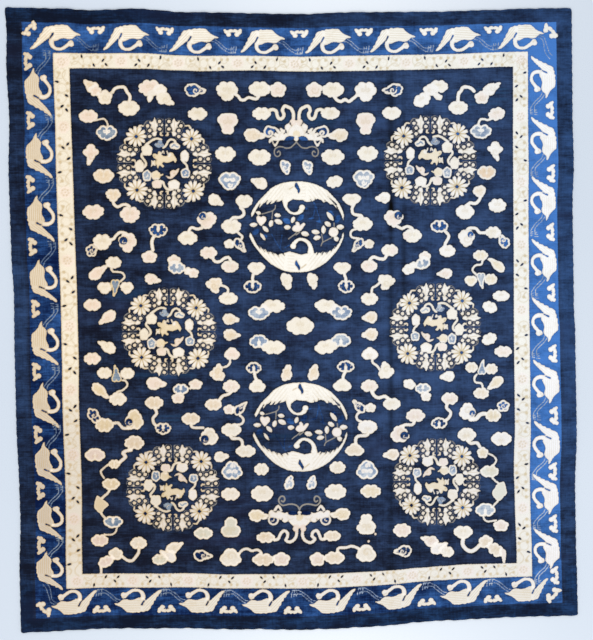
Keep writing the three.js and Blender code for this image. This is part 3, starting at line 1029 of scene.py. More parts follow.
def scalloped(shape, width, height):
    """A cloud whose outline dips between bumps: three on each side and one beneath."""
    lean = LEAN[0] * math.sin(LEAN[1] * width + LEAN[2] * height)
    deepen = DEEPEN[0] * math.cos(DEEPEN[1] * width + DEEPEN[2] * height)
    depth = min(width, abs(height)) * (DIP + deepen)

    def distance(x, y):
        angle = np.arctan2(x / width, -y / height)
        dip = 1 - np.abs(np.sin(BUMPS * (angle + lean * (1 - np.cos(angle))) / 2))
        shallow = 1 - TOP_LESS * np.exp(-((angle / TOP_ANGLE) ** 2))
        return shape(x, y) + depth * (dip * dip * shallow - DIP_LEVEL)
    return distance


def cloud_shape(kind, width, height):
    lobes = [
        ellipse(cx * width, cy * height, rx * abs(width), ry * abs(height))
        for cx, cy, rx, ry in CLOUD_KINDS[kind]
    ]
    shape = joined(lobes, SOFT_JOIN[kind])
    return scalloped(shape, abs(width), height) if kind in SCALLOPED else shape


def stem(size, tip):
    top, foot, width, end_width = STEM
    return stroke([(0, top * size * tip), (0, foot * size * tip)], width * size, end_width * size)


def single_curl(size, tip):
    return stroke([(u * size, v * size * tip) for u, v in CURL], CURL_WIDTH * size)


def paired_curls(size, tip):
    return joined([
        stroke([
            (side * PAIRED_SIZE * u * size, (PAIRED_SIZE * v - PAIRED_RISE) * size * tip)
            for u, v in PAIRED_CURL
        ], PAIRED_WIDTH * size)
        for side in (-1, 1)
    ])


def trefoil_curls(size, tip, width, height):
    return joined([
        stroke([
            (way * TREFOIL_SIZE * u * size + dx * width, TREFOIL_SIZE * v * size * tip + dy * height)
            for u, v in CURL
        ], TREFOIL_WIDTH * size)
        for way, dx, dy in TREFOIL_CURLS
    ])


def cloud_curl(kind, width, height, filled):
    """What is drawn within a cloud: one curl, a pair, a stem, three curls, or nothing."""
    size = min(abs(width), abs(height))
    tip = math.copysign(1.0, height)
    if kind in PAIRED_KINDS:
        return stem(size, tip) if filled and size < STEM_BELOW else paired_curls(size, tip)
    if filled and kind == "trefoil":
        return trefoil_curls(size, tip, width, height)
    if filled and kind == "dart":
        return None
    return single_curl(size, tip)


def cloud(kind, x0, y0, width, height, filling, turn=0.0):
    """A cloud with its curl; a width under 0 mirrors it, and a height under 0 stands it on its head."""
    patch = stand(x0, y0, turn, CLOUD_REACH * max(abs(width), abs(height)) + CLOUD_ROOM)
    shape = cloud_shape(kind, width, height)
    filled = filling in FILLINGS
    curl = cloud_curl(kind, width, height, filled)
    if filled:
        yarn, rim, layer, thickness = FILLINGS[filling]
        if kind == "dart":
            thickness = DART_RIM
        patch.paint("ivory", shape, yarn, rim)
        patch.paint(layer, lambda x, y: shape(x, y) + thickness)
        if curl:
            patch.paint("ivory", curl)
    else:
        patch.paint("ivory", shape, filling, PLAIN_RIM)
        if min(abs(width), abs(height)) > DRAWN_ABOVE:
            patch.rule(curl, DRAWN_DEPTH)


def ribbon(width, points):
    patch = photo_patch(box_of(points))
    patch.paint("ivory", stroke(points, width), "ivory")


# The ground's bands

def bands():
    """The crane border is royal blue, the guard band ivory, and the margin and the field navy."""
    def inside(level):
        depth = np.minimum(
            np.minimum(S - LEFT_BANDS[level], WIDE - RIGHT_BANDS[level] - S),
            np.minimum(T - NEAR_BANDS[level], LONG - FAR_BANDS[level] - T),
        )
        return depth / MM_PER_PIXEL

    everywhere = (slice(None), slice(None))
    lay("royal", everywhere, -inside(0))
    lay("ivory", everywhere, np.maximum(-inside(1), inside(2)))
    TINT[:] = YARNS["bone"]
    CORE[:] = 1.0
    lay(None, everywhere, -inside(2))


# Border cranes, drawn in pixels along the border and in thirtieths of its width

CRANE_UNITS = 30.0
CRANE_BODY = [
    (-27.9, 12.3), (-26, 9), (-24.9, 8.2), (-24.2, 5.4), (-22.6, 4.6), (-21.7, 1.1), (-20.3, 0),
    (-19.7, -3.4), (-18, -5), (-16.7, -8.9), (-14.8, -11), (-12.7, -11.3), (-10.4, -12.4), (-8.2, -12),
    (-6.4, -13.3), (-3.7, -12.8), (-0.5, -13.4), (2.3, -13.1), (5.8, -12.6), (8.8, -9.4), (12.3, -6.6),
    (16.3, -4.9), (18.6, -2.9), (14.3, -2.7), (12.3, -0.9), (9.8, 1.1), (6.3, 1.6), (2.3, 0.8),
    (-1.7, 1.4), (-6.2, 3.6), (-9.4, 2.6), (-12.4, 0.6), (-15.7, 3.6), (-19.7, 7.6), (-24.2, 11.6),
]
# Neck and throat: points, width at the start and at the end
CRANE_NECK = ([(-9.5, 0.5), (-10.4, 5.5), (-8.7, 9.8), (-5.5, 11.9)], 4.6, 3.0)
CRANE_THROAT = ([(-5.5, 11.9), (-1, 11.9), (3, 9.6), (7, 6.4)], 3.0, 3.6)
CRANE_HEAD = [(5.4, 5.6), (6.4, 3.6), (8.3, 2.6), (10.3, 3), (11.8, 7), (10, 9.3), (8, 9.1), (6, 8)]
CRANE_LEGS = [
    [(14.3, -1.9), (19.3, 1.6), (23.3, 5.6), (27.3, 8.8), (33.3, 8.6)],
    [(11.8, 0.6), (16.3, 2.4), (21.3, 7.6), (26.8, 11.6), (30.3, 13.2), (35.3, 12.9)],
]
CRANE_TOES = [
    [(31.3, 6.6), (31.8, 8.6)], [(33.8, 6.2), (33.8, 8.8)], [(36.3, 5.6), (36.1, 9.1)],
    [(30.8, 10.9), (31.3, 12.9)], [(33.3, 10.9), (33.5, 13.2)], [(35.5, 10.7), (35.3, 13.2)],
]
BENT_LEGS = [
    [(13.5, -1.7), (18.7, 0.6), (20.3, 5.8), (22.3, 12.3), (23.9, 16.8), (26.5, 20.1)],
    [(12.8, 0.3), (17, 3.2), (18.4, 8.4), (19.3, 14.9), (21.6, 20.4), (24.5, 24)],
]
LEG_WIDTH = 0.9
CRANE_RIM = 0.8
# The blue mark on the shoulder: points, width at the start and at the end
SHOULDER_MARK = ([(-9.2, -4.2), (-10.2, -2), (-11.4, 0.4)], 2.0, 1.3)
# The eye and the crown: x, y, radius, depth
HEAD_MARKS = [(7.8, 5.4, 0.8, 0.5), (9.6, 4.0, 1.1, 0.4)]
# Feathers: where the wing's begin, direction across them and spacing, and how deep the wing's are
WING_ROOT = -10
BACK_FEATHERS = (90, 1.9)
WING_FEATHERS = (38, 2.1)
WING_DEPTH = 0.8

# Beyond the hinge a wing is stretched, from the reach that it is drawn with to its row's own
CRANE_HINGE = 9.0
CRANE_WING = 27.9
CRANE_REACH = 46
CRANE_HEIGHTS = {"far": 1.02, "left": 1.0, "right": 0.975, "near": 1.02}
CRANE_YARNS = {"far": "snow", "left": "sand", "right": "white", "near": "bone"}
NECK_YARNS = {"far": "ivory", "left": "ivory", "right": "white", "near": "ivory"}
CRANE_COMBING = {"far": 0.42, "left": 0.48, "right": 0.2, "near": 0.42}

# Place along the side, reach of the wing, size along the side where it isn't 1
FAR_CRANES = [(62.2, 32.6), (130.7, 27.7), (200, 31), (266.7, 26.2), (332.7, 27.7), (397.2, 27.2),
              (462.2, 26.7), (525.4, 27.4)]
LEFT_CRANES = [(86.5, 30.5), (151.3, 27.2), (213.8, 28.2), (277.8, 24.7), (339.8, 25.7), (401.3, 27.2),
               (460.5, 24.7), (516.4, 23.6, 0.86), (567.3, 22.8, 0.85)]
RIGHT_CRANES = [(81.2, 25.4, 0.92), (143.3, 26.5, 0.92), (203.3, 26.9, 0.92), (264.9, 26.2, 0.92),
                (325, 27.8, 0.92), (386.6, 27.1, 0.92), (447.1, 26.5, 0.92), (498.4, 24.7, 0.87),
                (553, 24.5, 0.87)]
NEAR_CRANES = [(69.7, 27.4), (132.6, 29.8), (197.2, 27.7), (260.2, 29.8), (327.7, 28.1), (393.8, 28.1),
               (458.8, 28.6), (523.2, 25.2)]
# The two that stretch their legs towards a corner
BENT_CRANES = (("far", 7), ("near", 0))


def crane(side, place, wing, size=1.0, bent=False):
    """A crane flying back along the border, its neck curled under its breast."""
    patch = edge_patch(side, place, CRANE_STRIP, CRANE_UNITS, CRANE_REACH)
    folded = CRANE_HINGE * size
    stretch = (CRANE_WING - CRANE_HINGE) / (wing - folded)
    patch.x = np.where(patch.x < -folded, (patch.x + folded) * stretch - CRANE_HINGE, patch.x / size)
    patch.y = patch.y / CRANE_HEIGHTS[side]
    legs = BENT_LEGS if bent else CRANE_LEGS + CRANE_TOES
    patch.paint("pale", joined([stroke(leg, LEG_WIDTH) for leg in legs]))
    neck = joined([stroke(*CRANE_NECK), stroke(*CRANE_THROAT), outline(CRANE_HEAD)])
    body = outline(CRANE_BODY)
    patch.paint("ivory", neck, NECK_YARNS[side], CRANE_RIM)
    patch.paint("ivory", body, CRANE_YARNS[side], CRANE_RIM)
    depth = CRANE_COMBING[side]
    patch.comb(lambda x, y: np.maximum(body(x, y), WING_ROOT - x), *BACK_FEATHERS, depth)
    patch.comb(lambda x, y: np.maximum(body(x, y), x - WING_ROOT), *WING_FEATHERS, WING_DEPTH * depth)
    patch.paint("royal", stroke(*SHOULDER_MARK))
    for x, y, radius, deep in HEAD_MARKS:
        patch.rule(disc(x, y, radius), deep)


# Bats, drawn in the same units: lobes as x, y and radius, and the blue marks between the wings
BAT = [
    (-8.2, -2.3, 1.4), (-6.6, -0.6, 2.1), (-4.4, 2.1, 2.5), (-3.2, -1.4, 2.0), (-1.8, -2.4, 1.5),
    (0, -1.2, 1.6), (1.7, -2.4, 1.5), (3.2, -1.2, 2.0), (3.9, 2.1, 2.5), (6.3, -0.2, 2.2),
    (7.1, -2.6, 1.8),
]
BAT_SOFTNESS = 0.8
BAT_RIM = 0.6
BAT_MARKS = [([(-2.3, 0.4), (1.9, 0.4)], 1.2), ([(-0.1, 0.2), (-0.1, 4.6)], 1.5)]
BAT_REACH = 14
# Where the bats stand out from the strip's middle line, and their places along each side
BAT_LINES = {"far": -9.4, "left": -9.2, "right": -7.4, "near": -9.3}
FAR_BATS = (96.1, 165, 233, 299.5, 364, 429, 493.5)
LEFT_BATS = (61, 120, 184, 246.5, 308.5, 371.5, 434.5, 490.5, 545)
RIGHT_BATS = (110.6, 173.7, 232.3, 292.8, 353.8, 416, 471.7, 524, 575.6)
NEAR_BATS = (101.4, 166.3, 228.3, 292.6, 361.3, 426.5, 492.6)
CORNER_BATS = [(30, 29, -45), (550.4, 31.7, 45), (44.4, 608.4, -135), (552.8, 594.5, 135)]


def bat(patch, yarn="bone"):
    patch.paint("ivory", joined([disc(*lobe) for lobe in BAT], BAT_SOFTNESS), yarn, BAT_RIM)
    patch.paint("royal", joined([stroke(points, width) for points, width in BAT_MARKS]))


def crane_border():
    rows = {"far": FAR_CRANES, "left": LEFT_CRANES, "right": RIGHT_CRANES, "near": NEAR_CRANES}
    for side, cranes in rows.items():
        for number, values in enumerate(cranes):
            crane(side, *values, bent=(side, number) in BENT_CRANES)
    rows = {"far": FAR_BATS, "left": LEFT_BATS, "right": RIGHT_BATS, "near": NEAR_BATS}
    for side, places in rows.items():
        for place in places:
            patch = edge_patch(side, place, CRANE_STRIP, CRANE_UNITS, BAT_REACH)
            patch.y = patch.y - BAT_LINES[side]
            bat(patch, CRANE_YARNS[side])
    for x, y, turn in CORNER_BATS:
        bat(stand(x, y, turn, BAT_REACH))


# The guard band's vine, drawn outwards from each of its flowers in sixteenths of the band

VINE_UNITS = 16.0
# Half a repeat's length; the least of it that is drawn at a corner, and the room round it, in photo pixels
VINE_HALF = 66.0
VINE_LEAST = 8
VINE_ROOM = 4
# Rings: x, y, radius; dots: x, y; leaves: x, y, turn
VINE_RINGS = [(15.5, -4, 4.4), (29, -1, 5), (39, 0, 4.6), (54, -2, 5.6)]
VINE_DOTS = [
    (11.5, -3.8), (18.4, -3.8), (27, -3.8), (35, -3.7), (21.3, 5.6), (36.2, 5.4), (43.7, 5.6), (54, -2.4),
]
VINE_LEAVES = [(17, 4, -40), (20.7, -0.6, 50), (31.4, 4.4, -55), (45.3, -4.6, -75)]
RING_WIDTH = 1.0
RING_DEPTH = 0.38
DOT_RADIUS = 1.7
DOT_DEPTH = 0.62
LEAF_LENGTH = 4.9
LEAF_WIDTH = 2.2
LEAF_HALF = 2
# Tendrils: points, width, depth
VINE_TENDRILS = [
    ([(46, 4), (50, 1), (54, 1), (57, 4.5)], 1.0, 0.5), ([(49, -5), (52, -2.5), (55.5, -4.5)], 1.2, 0.55),
]
VINE_FLOWERS = {
    "far": (121, 237.5, 349.2, 464.2), "near": (132.6, 247, 356.5, 467.6),
    "left": (127, 260.6, 389.5, 519), "right": (116.5, 244.5, 379, 508),
}
VINE_SCALE = {"far": 0.87, "near": 0.85, "left": 1.0, "right": 0.97}
VINE_ENDS = {"far": (52, 533), "near": (62, 536), "left": (57, 573), "right": (58, 563)}

# A flower: its reach and radius, its petals as count, place, radius and depth, and its heart
FLOWER_REACH = 9
FLOWER_RADIUS = 4.6
FLOWER_PETALS = 7
PETAL_PLACE = 3.2
PETAL_RADIUS = 1.0
PETAL_DEPTH = 0.45
HEART_RADIUS = 0.9
HEART_DEPTH = 0.5


def vine_repeat(side, place, scale, spans):
    """One repeat of the vine, mirrored about its flower, over the spans that fit the side."""
    for mirror, reach in ((-1, spans[0]), (1, spans[1])):
        if reach < VINE_LEAST:
            continue
        patch = edge_patch(side, place, VINE_STRIP, VINE_UNITS, min(reach, VINE_HALF * scale) + VINE_ROOM)
        patch.x = patch.x * mirror * EDGE_WAY[side] / scale
        fits = min(reach / scale, VINE_HALF + 2)
        for x, y, radius in VINE_RINGS:
            if x + radius < fits:
                patch.rule(ring(x, y, radius, RING_WIDTH), RING_DEPTH)
        for points, width, depth in VINE_TENDRILS:
            patch.rule(stroke(points, width), depth)
        for x, y in VINE_DOTS:
            if x < fits:
                patch.rule(disc(x, y, DOT_RADIUS), DOT_DEPTH)
        for x, y, turn in VINE_LEAVES:
            if x + LEAF_HALF < fits:
                patch.paint(None, leaf(x, y, LEAF_LENGTH, LEAF_WIDTH, turn))


def vine_flower(side, place):
    patch = edge_patch(side, place, VINE_STRIP, VINE_UNITS, FLOWER_REACH)
    patch.paint("ivory", disc(0, 0, FLOWER_RADIUS), "blush")
    for k in range(FLOWER_PETALS):
        angle = 2 * math.pi * k / FLOWER_PETALS
        x, y = PETAL_PLACE * math.cos(angle), PETAL_PLACE * math.sin(angle)
        patch.rule(disc(x, y, PETAL_RADIUS), PETAL_DEPTH)
    patch.rule(disc(0, 0, HEART_RADIUS), HEART_DEPTH)


def guard_vine():
    """The vine's repeats, with a flower in the middle of each and between it and the next."""
    for side, flowers in VINE_FLOWERS.items():
        low, high = VINE_ENDS[side]
        half = (flowers[-1] - flowers[0]) / (len(flowers) - 1) / 2
        for place in flowers:
            vine_repeat(side, place, VINE_SCALE[side], (place - low, high - place))
            vine_flower(side, place)
            if place + half < high:
                vine_flower(side, place + half)
        if low < flowers[0] - half:
            vine_flower(side, flowers[0] - half)


# Floral roundels, drawn as the upper left one shows; the others mirror it or stand it on its head

ROUNDEL_X = 164.3
ROUNDEL_Y = 163.5
ROUNDEL_WIDE = 94.0
ROUNDEL_HIGH = 90.0
ROUNDEL_REACH = 52
# Centre, width, height, and -1 where it is mirrored across or down
ROUNDELS = [
    (164.3, 163.5, 94, 90, 1, 1), (430.3, 160.5, 92, 89, -1, 1), (168.9, 331.8, 94, 87, 1, 1),
    (435.4, 327, 90, 87, -1, 1), (172.8, 487.7, 92, 86, 1, -1), (436.6, 481.8, 87, 86, -1, -1),
]

# Chrysanthemums: centre, radius, turn
FLOWERS = [(136.2, 136.5, 10.8, 0), (191.5, 138.8, 10.5, 20), (137, 190, 11.3, 8), (193.3, 191, 11, 12)]
PETALS = 11
# Shares of the radius: where the petals part, how much longer they get, and the notch at their tips
PETAL_ROOT = 0.4
PETAL_LENGTH = 0.63
PETAL_NOTCH = 0.1
NOTCH_POWER = 18
PETAL_SLOPE = 0.6
# The lines between the petals: half width, reach as a share of the radius, depth
PARTING_HALF = 0.55
PARTING_REACH = 0.8
PARTING_DEPTH = 0.95
# The round about the heart, and the heart, a lozenge: size and how steeply it ends
EYE_RADIUS = 3.0
EYE_DEPTH = 0.6
LOZENGE = 2.3
LOZENGE_SLOPE = 1.4

# One quarter of the ring: across from its middle line, out from the roundel's centre
RING_RADIUS = 46.0
FLOWER_BUD = [
    (9.4, 32.2), (7.4, 34.8), (6.2, 37.6), (6.4, 40.6), (7.8, 43.2), (9.6, 47), (10.8, 43.6), (12.2, 42.4),
    (15.4, 43.6), (14.2, 40.8), (12.6, 39.4), (13.8, 36.6), (11.8, 34.8),
]
FLOWER_CUP = [
    (9.2, 33.6), (7, 32.4), (7.8, 29.6), (8.6, 27.8), (11, 28), (13.6, 29.4), (12.2, 31), (10.8, 32.4),
]
BUD_VEINS = [([(9.6, 32), (10, 43)], 0.7, 0.5), ([(9.8, 35), (13, 39)], 0.7, 0.4)]
RING_BEADS = [(4.6, 43), (4.5, 35.2), (16.3, 38.4), (14.2, 33.6), (14.2, 27.6)]
RING_HOOKS = [[(3.3, 31.2), (3.6, 29.2), (1.8, 28.6)], [(25.6, 36), (24, 38.6), (20.6, 38.4)]]
RING_TENDRILS = [[(13, 43.8), (17.4, 43.2), (20.4, 38.6)], [(1.2, 45.2), (1.6, 41), (1.2, 36), (1.6, 31.5)]]
RING_SEED = (2.2, 39.2, 1.2)
TENDRIL_WIDTH = 0.8
HOOK_WIDTHS = (2.0, 1.4)
# A bead: radius of its navy ground, of the thin ring round it and its width, of itself, and its rim
BEAD_GROUND = 3.1
BEAD_RING = 3.3
BEAD_RING_WIDTH = 0.5
BEAD_RADIUS = 1.75
BEAD_RIM = 0.3
# A quarter is painted in its own wedge and this far past it, and what lies past that is moved far off
QUARTER_ROOM = 14
BEYOND = 99.0


def chrysanthemum(patch, x0, y0, radius, turn):
    """A round flower of notched petals with a small blue heart."""
    dx = patch.x - x0
    dy = patch.y - y0
    far = np.hypot(dx, dy)
    angle = np.arctan2(dy, dx) + math.radians(turn)
    swing = np.abs(np.cos(PETALS * angle / 2))
    tip = radius * (PETAL_ROOT + PETAL_LENGTH * swing ** 0.5 - PETAL_NOTCH * swing ** NOTCH_POWER)
    patch.paint("ivory", lambda x, y: (far - tip) * PETAL_SLOPE, "ivory")
    parting = np.abs(np.arcsin(np.clip(np.cos(PETALS * angle / 2), -1, 1))) * 2 / PETALS * far
    patch.rule(
        lambda x, y: np.maximum(parting - PARTING_HALF, far - radius * PARTING_REACH), PARTING_DEPTH
    )
    patch.rule(disc(x0, y0, EYE_RADIUS), EYE_DEPTH)
    patch.paint("royal", lambda x, y: (np.abs(dx) + np.abs(dy) - LOZENGE) / LOZENGE_SLOPE)


def bead(patch, x, y):
    patch.paint(None, disc(x, y, BEAD_GROUND))
    patch.paint("tan", ring(x, y, BEAD_RING, BEAD_RING_WIDTH))
    patch.paint("ivory", disc(x, y, BEAD_RADIUS), "core", BEAD_RIM)


def ring_quarter(quarter):
    """Two flower buds either side of a middle line, with beads, hooks and tendrils."""
    for line in RING_TENDRILS:
        quarter.paint("tan", stroke(line, TENDRIL_WIDTH))
    quarter.paint("ivory", joined([outline(FLOWER_BUD, False), outline(FLOWER_CUP, False)]), "ivory")
    for points, width, depth in BUD_VEINS:
        quarter.rule(stroke(points, width), depth)
    for x, y in RING_BEADS:
        bead(quarter, x, y)
    for line in RING_HOOKS:
        quarter.paint("ivory", stroke(line, *HOOK_WIDTHS), "core")
    quarter.paint("ivory", disc(*RING_SEED), "ivory")


def roundel_ring(patch):
    """The ring's four quarters, each mirrored about its own middle line."""
    across = (patch.x - ROUNDEL_X) * 2 * RING_RADIUS / ROUNDEL_WIDE
    down = (patch.y - ROUNDEL_Y) * 2 * RING_RADIUS / ROUNDEL_HIGH
    for side, out in ((across, -down), (down, across), (across, down), (down, -across)):
        near = out > np.abs(side) - QUARTER_ROOM
        ring_quarter(Patch(patch.cut, np.where(near, np.abs(side), BEYOND), out))


# Small clouds: five lobes as shares of the size, x, y and radius, and their rim and softness
LITTLE_LOBES = [(-.24, -.1, .27), (.02, -.24, .27), (.26, -.08, .24), (-.17, .2, .29), (.18, .22, .27)]
LITTLE_SOFTNESS = 1.5
LITTLE_RIM = 0.8
FILLING_SOFTNESS = 3.0
FILLING_INSET = 1.5
LITTLE_CURL = [(-0.8, 1.6), (0.9, 0.6), (0.2, -1)]
LITTLE_CURL_WIDTH = 1.0


def little_cloud(patch, x, y, width, height, filling, turn=0.0):
    """A small cloud within a roundel."""
    cosine = math.cos(math.radians(turn))
    sine = math.sin(math.radians(turn))
    lobes = [
        ellipse(x + u * width * cosine - v * height * sine, y + u * width * sine + v * height * cosine,
                share * width, share * height)
        for u, v, share in LITTLE_LOBES
    ]
    filled = filling == "pale"
    patch.paint("ivory", joined(lobes, LITTLE_SOFTNESS), "ivory" if filled else filling, LITTLE_RIM)
    if filled:
        inner = joined(lobes, FILLING_SOFTNESS)
        patch.paint(filling, lambda u, v: inner(u, v) + FILLING_INSET)
        curl = [(x + dx, y + dy) for dx, dy in LITTLE_CURL]
        patch.paint("ivory", stroke(curl, LITTLE_CURL_WIDTH))


# The roundel's middle. Ribbons: points and width
MIDDLE_RIBBONS = [
    ([(161, 139.5), (157, 138.6), (153, 139.8), (149, 142.5), (146, 144.5)], 2.3),
    ([(142, 154), (141.5, 156.5), (143.5, 159), (146, 163), (145.5, 166), (143, 168)], 2.3),
    ([(163.3, 147.7), (166, 145.5), (168, 141.5), (171, 139.4), (174.4, 140.6), (175.6, 142.8)], 2.2),
    ([(181.5, 159.5), (184, 162.5), (186.5, 165), (187.5, 168.5)], 2.1),
    ([(160, 181), (163, 182.2), (165, 187), (168, 189.5), (172, 189.4)], 2.4),
]
# A pale cloud with a wavy line in it
WAVY_CLOUD = [(156.6, 144.8, 2), (160, 142.2, 2.2), (162, 145.2, 2), (159, 145.6, 2.2)]
WAVY_SOFTNESS = 1.5
WAVY_LINE = ([(156, 145.6), (158.2, 142.8), (159.6, 145.2), (162.6, 144.4)], 0.8)
# Clouds: x, y, width, height, filling, turn
MIDDLE_CLOUDS = [
    (147, 150, 11, 11.5, "cream"), (139.5, 166, 9, 12.5, "cream"), (175, 146, 10.5, 6.5, "cream", 10),
    (184.7, 156, 8.6, 12, "ivory"), (185.5, 173, 9.5, 10, "pale"), (147, 175.5, 9, 11.5, "pale"),
    (156, 175.2, 9, 9, "straw"), (157, 184, 10, 8.8, "peach"), (174, 184.6, 12, 10, "ivory"),
]
# A blue line on one cloud, and the tail of another: points, width at the start and at the end
CLOUD_LINE = ([(172, 146.6), (174.2, 144.6), (176, 146.4), (178.2, 147)], 1.5)
CLOUD_TAIL = ([(159, 175.8), (162.8, 174.4)], 2.4, 1.2)
DEER = [
    (157.5, 154.5), (158.5, 151.3), (160.5, 151.8), (161.6, 154.6), (163.6, 156), (167.5, 155.7),
    (169.2, 152.6), (172.5, 152.8), (174, 155), (176.2, 158.5), (176.6, 160.6), (175.2, 163),
    (173.5, 160.8), (170.5, 161.9), (167, 162.9), (163.5, 162), (162.2, 163.6), (164.2, 166.3),
    (162.5, 167.3), (159.6, 165.3), (157.8, 168.5), (156.6, 165), (155.8, 162.5), (156.8, 159.6),
    (153.4, 157.6), (152.8, 154.2), (155.2, 153.6),
]
DEER_HORNS = [
    ([(161.8, 153.2), (163.2, 151), (164, 153.4)], 1.2), ([(166.8, 151), (167.8, 153.6), (169, 154.8)], 1.3),
]
DEER_EYE = (154.6, 156.4, 0.9)
DEER_EYE_DEPTH = 0.8
SPIKED_LEAF = [
    (165.6, 175.6), (168, 176.2), (170.4, 176.4), (169.8, 172.4), (172.6, 170), (175.6, 170.4), (179.2, 168),
    (178.2, 172), (175.4, 175.6), (171.6, 178.8), (168, 178.2),
]
SHRUB = [
    (151.5, 160.4), (153.6, 161), (155.4, 159.8), (155.8, 163), (155.4, 166), (153, 165.2),
    (150.9, 167), (151.4, 163.6),
]
LEAF_SPOT = (174.3, 173.4, 0.9)
SHRUB_RING = (153.2, 163.2, 1.3)
SPOT_DEPTH = 0.6


def roundel_middle(patch):
    """A small deer in a ring of drifting clouds."""
    for points, width in MIDDLE_RIBBONS:
        patch.paint("ivory", stroke(points, width), "cream")
    patch.paint("pale", joined([disc(*lobe) for lobe in WAVY_CLOUD], WAVY_SOFTNESS))
    patch.paint("ivory", stroke(*WAVY_LINE), "ivory")
    for row in MIDDLE_CLOUDS:
        little_cloud(patch, *row)
    patch.paint("pale", stroke(*CLOUD_LINE))
    patch.paint("ivory", stroke(*CLOUD_TAIL), "straw")
    patch.paint("ivory", outline(SPIKED_LEAF), "peach")
    patch.rule(disc(*LEAF_SPOT), SPOT_DEPTH)
    patch.paint("ivory", outline(SHRUB), "ivory")
    patch.rule(ring(*SHRUB_RING), SPOT_DEPTH)
    patch.paint("ivory", outline(DEER), "straw")
    patch.paint("ivory", joined([stroke(points, width) for points, width in DEER_HORNS]), "ivory")
    patch.rule(disc(*DEER_EYE), DEER_EYE_DEPTH)


def floral_roundel(x0, y0, width, height, mirror, flip):
    patch = stand(x0, y0, 0, ROUNDEL_REACH, mirror * width / ROUNDEL_WIDE, flip * height / ROUNDEL_HIGH)
    patch.x = patch.x + ROUNDEL_X
    patch.y = patch.y + ROUNDEL_Y
    roundel_ring(patch)
    for flower in FLOWERS:
        chrysanthemum(patch, *flower)
    roundel_middle(patch)


# Crane roundels, drawn as the upper one shows

PAIR_X = 297.2
PAIR_Y = 226.8
# Centre, and size across and down as shares of the upper one's
CRANE_ROUNDELS = [(297.2, 226.8, 1.0, 1.0), (300.7, 427, 0.995, 0.978)]
# The heads: x, y, radius
PAIR_HEADS = [(302, 207.5, 2.9), (293.2, 246, 2.9)]
UPPER_CRANE = [
    (251.5, 217), (251, 213.5), (253.5, 208.5), (257, 203), (261, 198.5), (266, 193.5), (270.5, 188.7),
    (276, 185.5), (281, 183.3), (290, 181.6), (301, 181.3), (310, 182.7), (316, 184.5), (322, 187.3),
    (327, 190.3), (331, 194.2), (335, 198.5), (339, 203.5), (342, 209), (344, 215), (343.5, 220.5),
    (341, 214.5), (338.5, 209.8), (336, 207.5), (333, 204), (330, 204.3), (327.5, 201.5), (323.5, 202.5),
    (321.5, 200), (317.5, 198.8), (314.5, 200), (312, 201.5), (306.5, 202), (303, 200), (296, 199.8),
    (293, 199), (290.5, 200.5), (288, 202.5), (285, 201.5), (282.5, 199.8), (279, 201.5), (276, 202),
    (273, 203), (270.5, 204.2), (270, 202.5), (267, 204.5), (266, 203.5), (264, 202.5), (261, 206),
    (259.5, 208), (258.5, 206.8), (256, 210), (253.5, 215),
]
UPPER_NECK = [
    (282.5, 199), (283.2, 204), (285, 208.5), (288.5, 212.5), (292, 214.3), (296, 214.8), (300, 213.8),
    (303.5, 211), (299.5, 208.5), (298, 211), (295, 212.4), (291.5, 211.8), (288.5, 209), (287, 205.5),
    (288.2, 200),
]
LOWER_CRANE = [
    (250, 232), (249.3, 236), (251.5, 241), (254.5, 246), (258, 250.5), (262.5, 256), (267, 260.5),
    (271, 264), (277, 267.5), (283, 270.5), (290, 272), (300, 272.3), (308, 271.5), (314, 269.5),
    (320, 266.5), (326, 262.5), (331, 257.5), (335.5, 252.5), (339, 247.5), (342, 241.5), (344, 235.5),
    (343.5, 232), (341, 238), (339, 243), (336.5, 246), (333.5, 247.5), (332, 250), (327.5, 250.8),
    (326, 253), (323, 251), (321, 253.5), (317, 251.5), (315.5, 253.5), (311, 252.5), (305, 254),
    (301, 254.8), (297, 253.5), (289.5, 251.5), (286, 252.5), (282, 253.5), (278.5, 254.5), (275, 253.5),
    (272.5, 252), (269, 251.8), (266.5, 250), (262, 248.5), (259.5, 245.8), (257.5, 246), (255, 241.5),
    (252.5, 236.5),
]
LOWER_NECK = [
    (313.6, 254.5), (313, 248.5), (311, 243.5), (307.5, 239.8), (303, 238), (298, 238.2), (294.5, 240.5),
    (291.5, 244), (296, 244), (299, 240.9), (303, 241.2), (306.5, 243.5), (308.5, 247.5), (307.8, 253.5),
]
PEACH_HEART = [
    (256.5, 217), (258.5, 215.7), (261, 217), (263.5, 216), (266, 217.5), (266, 221), (263, 224.5),
    (261, 226), (258.5, 223.5), (256.8, 220.5),
]
OPEN_FLOWER = [
    (292, 229), (293.5, 226), (296, 224.5), (295.5, 222.5), (297.5, 221.5), (299.5, 223.5), (300, 225.5),
    (303, 223), (305.5, 224), (303.5, 227), (301.5, 230), (298, 231.8), (294, 231.3),
]
PAIR_STEMS = [
    [(275.3, 205.3), (275, 208.5), (272.5, 210.8), (268, 212.3), (262, 214)],
    [(272.5, 211), (272.3, 215), (272, 219)], [(297.5, 231), (294.5, 234.5), (291, 237), (288.5, 239)],
    [(300, 232), (296, 235)], [(321, 246), (322.5, 242.5), (327, 240), (332, 237.5)],
    [(322.8, 242), (322.3, 238), (321.8, 234)], [(334.3, 227), (334, 223)],
]
ROUND_FRUIT = (333.5, 232.2, 4.8)
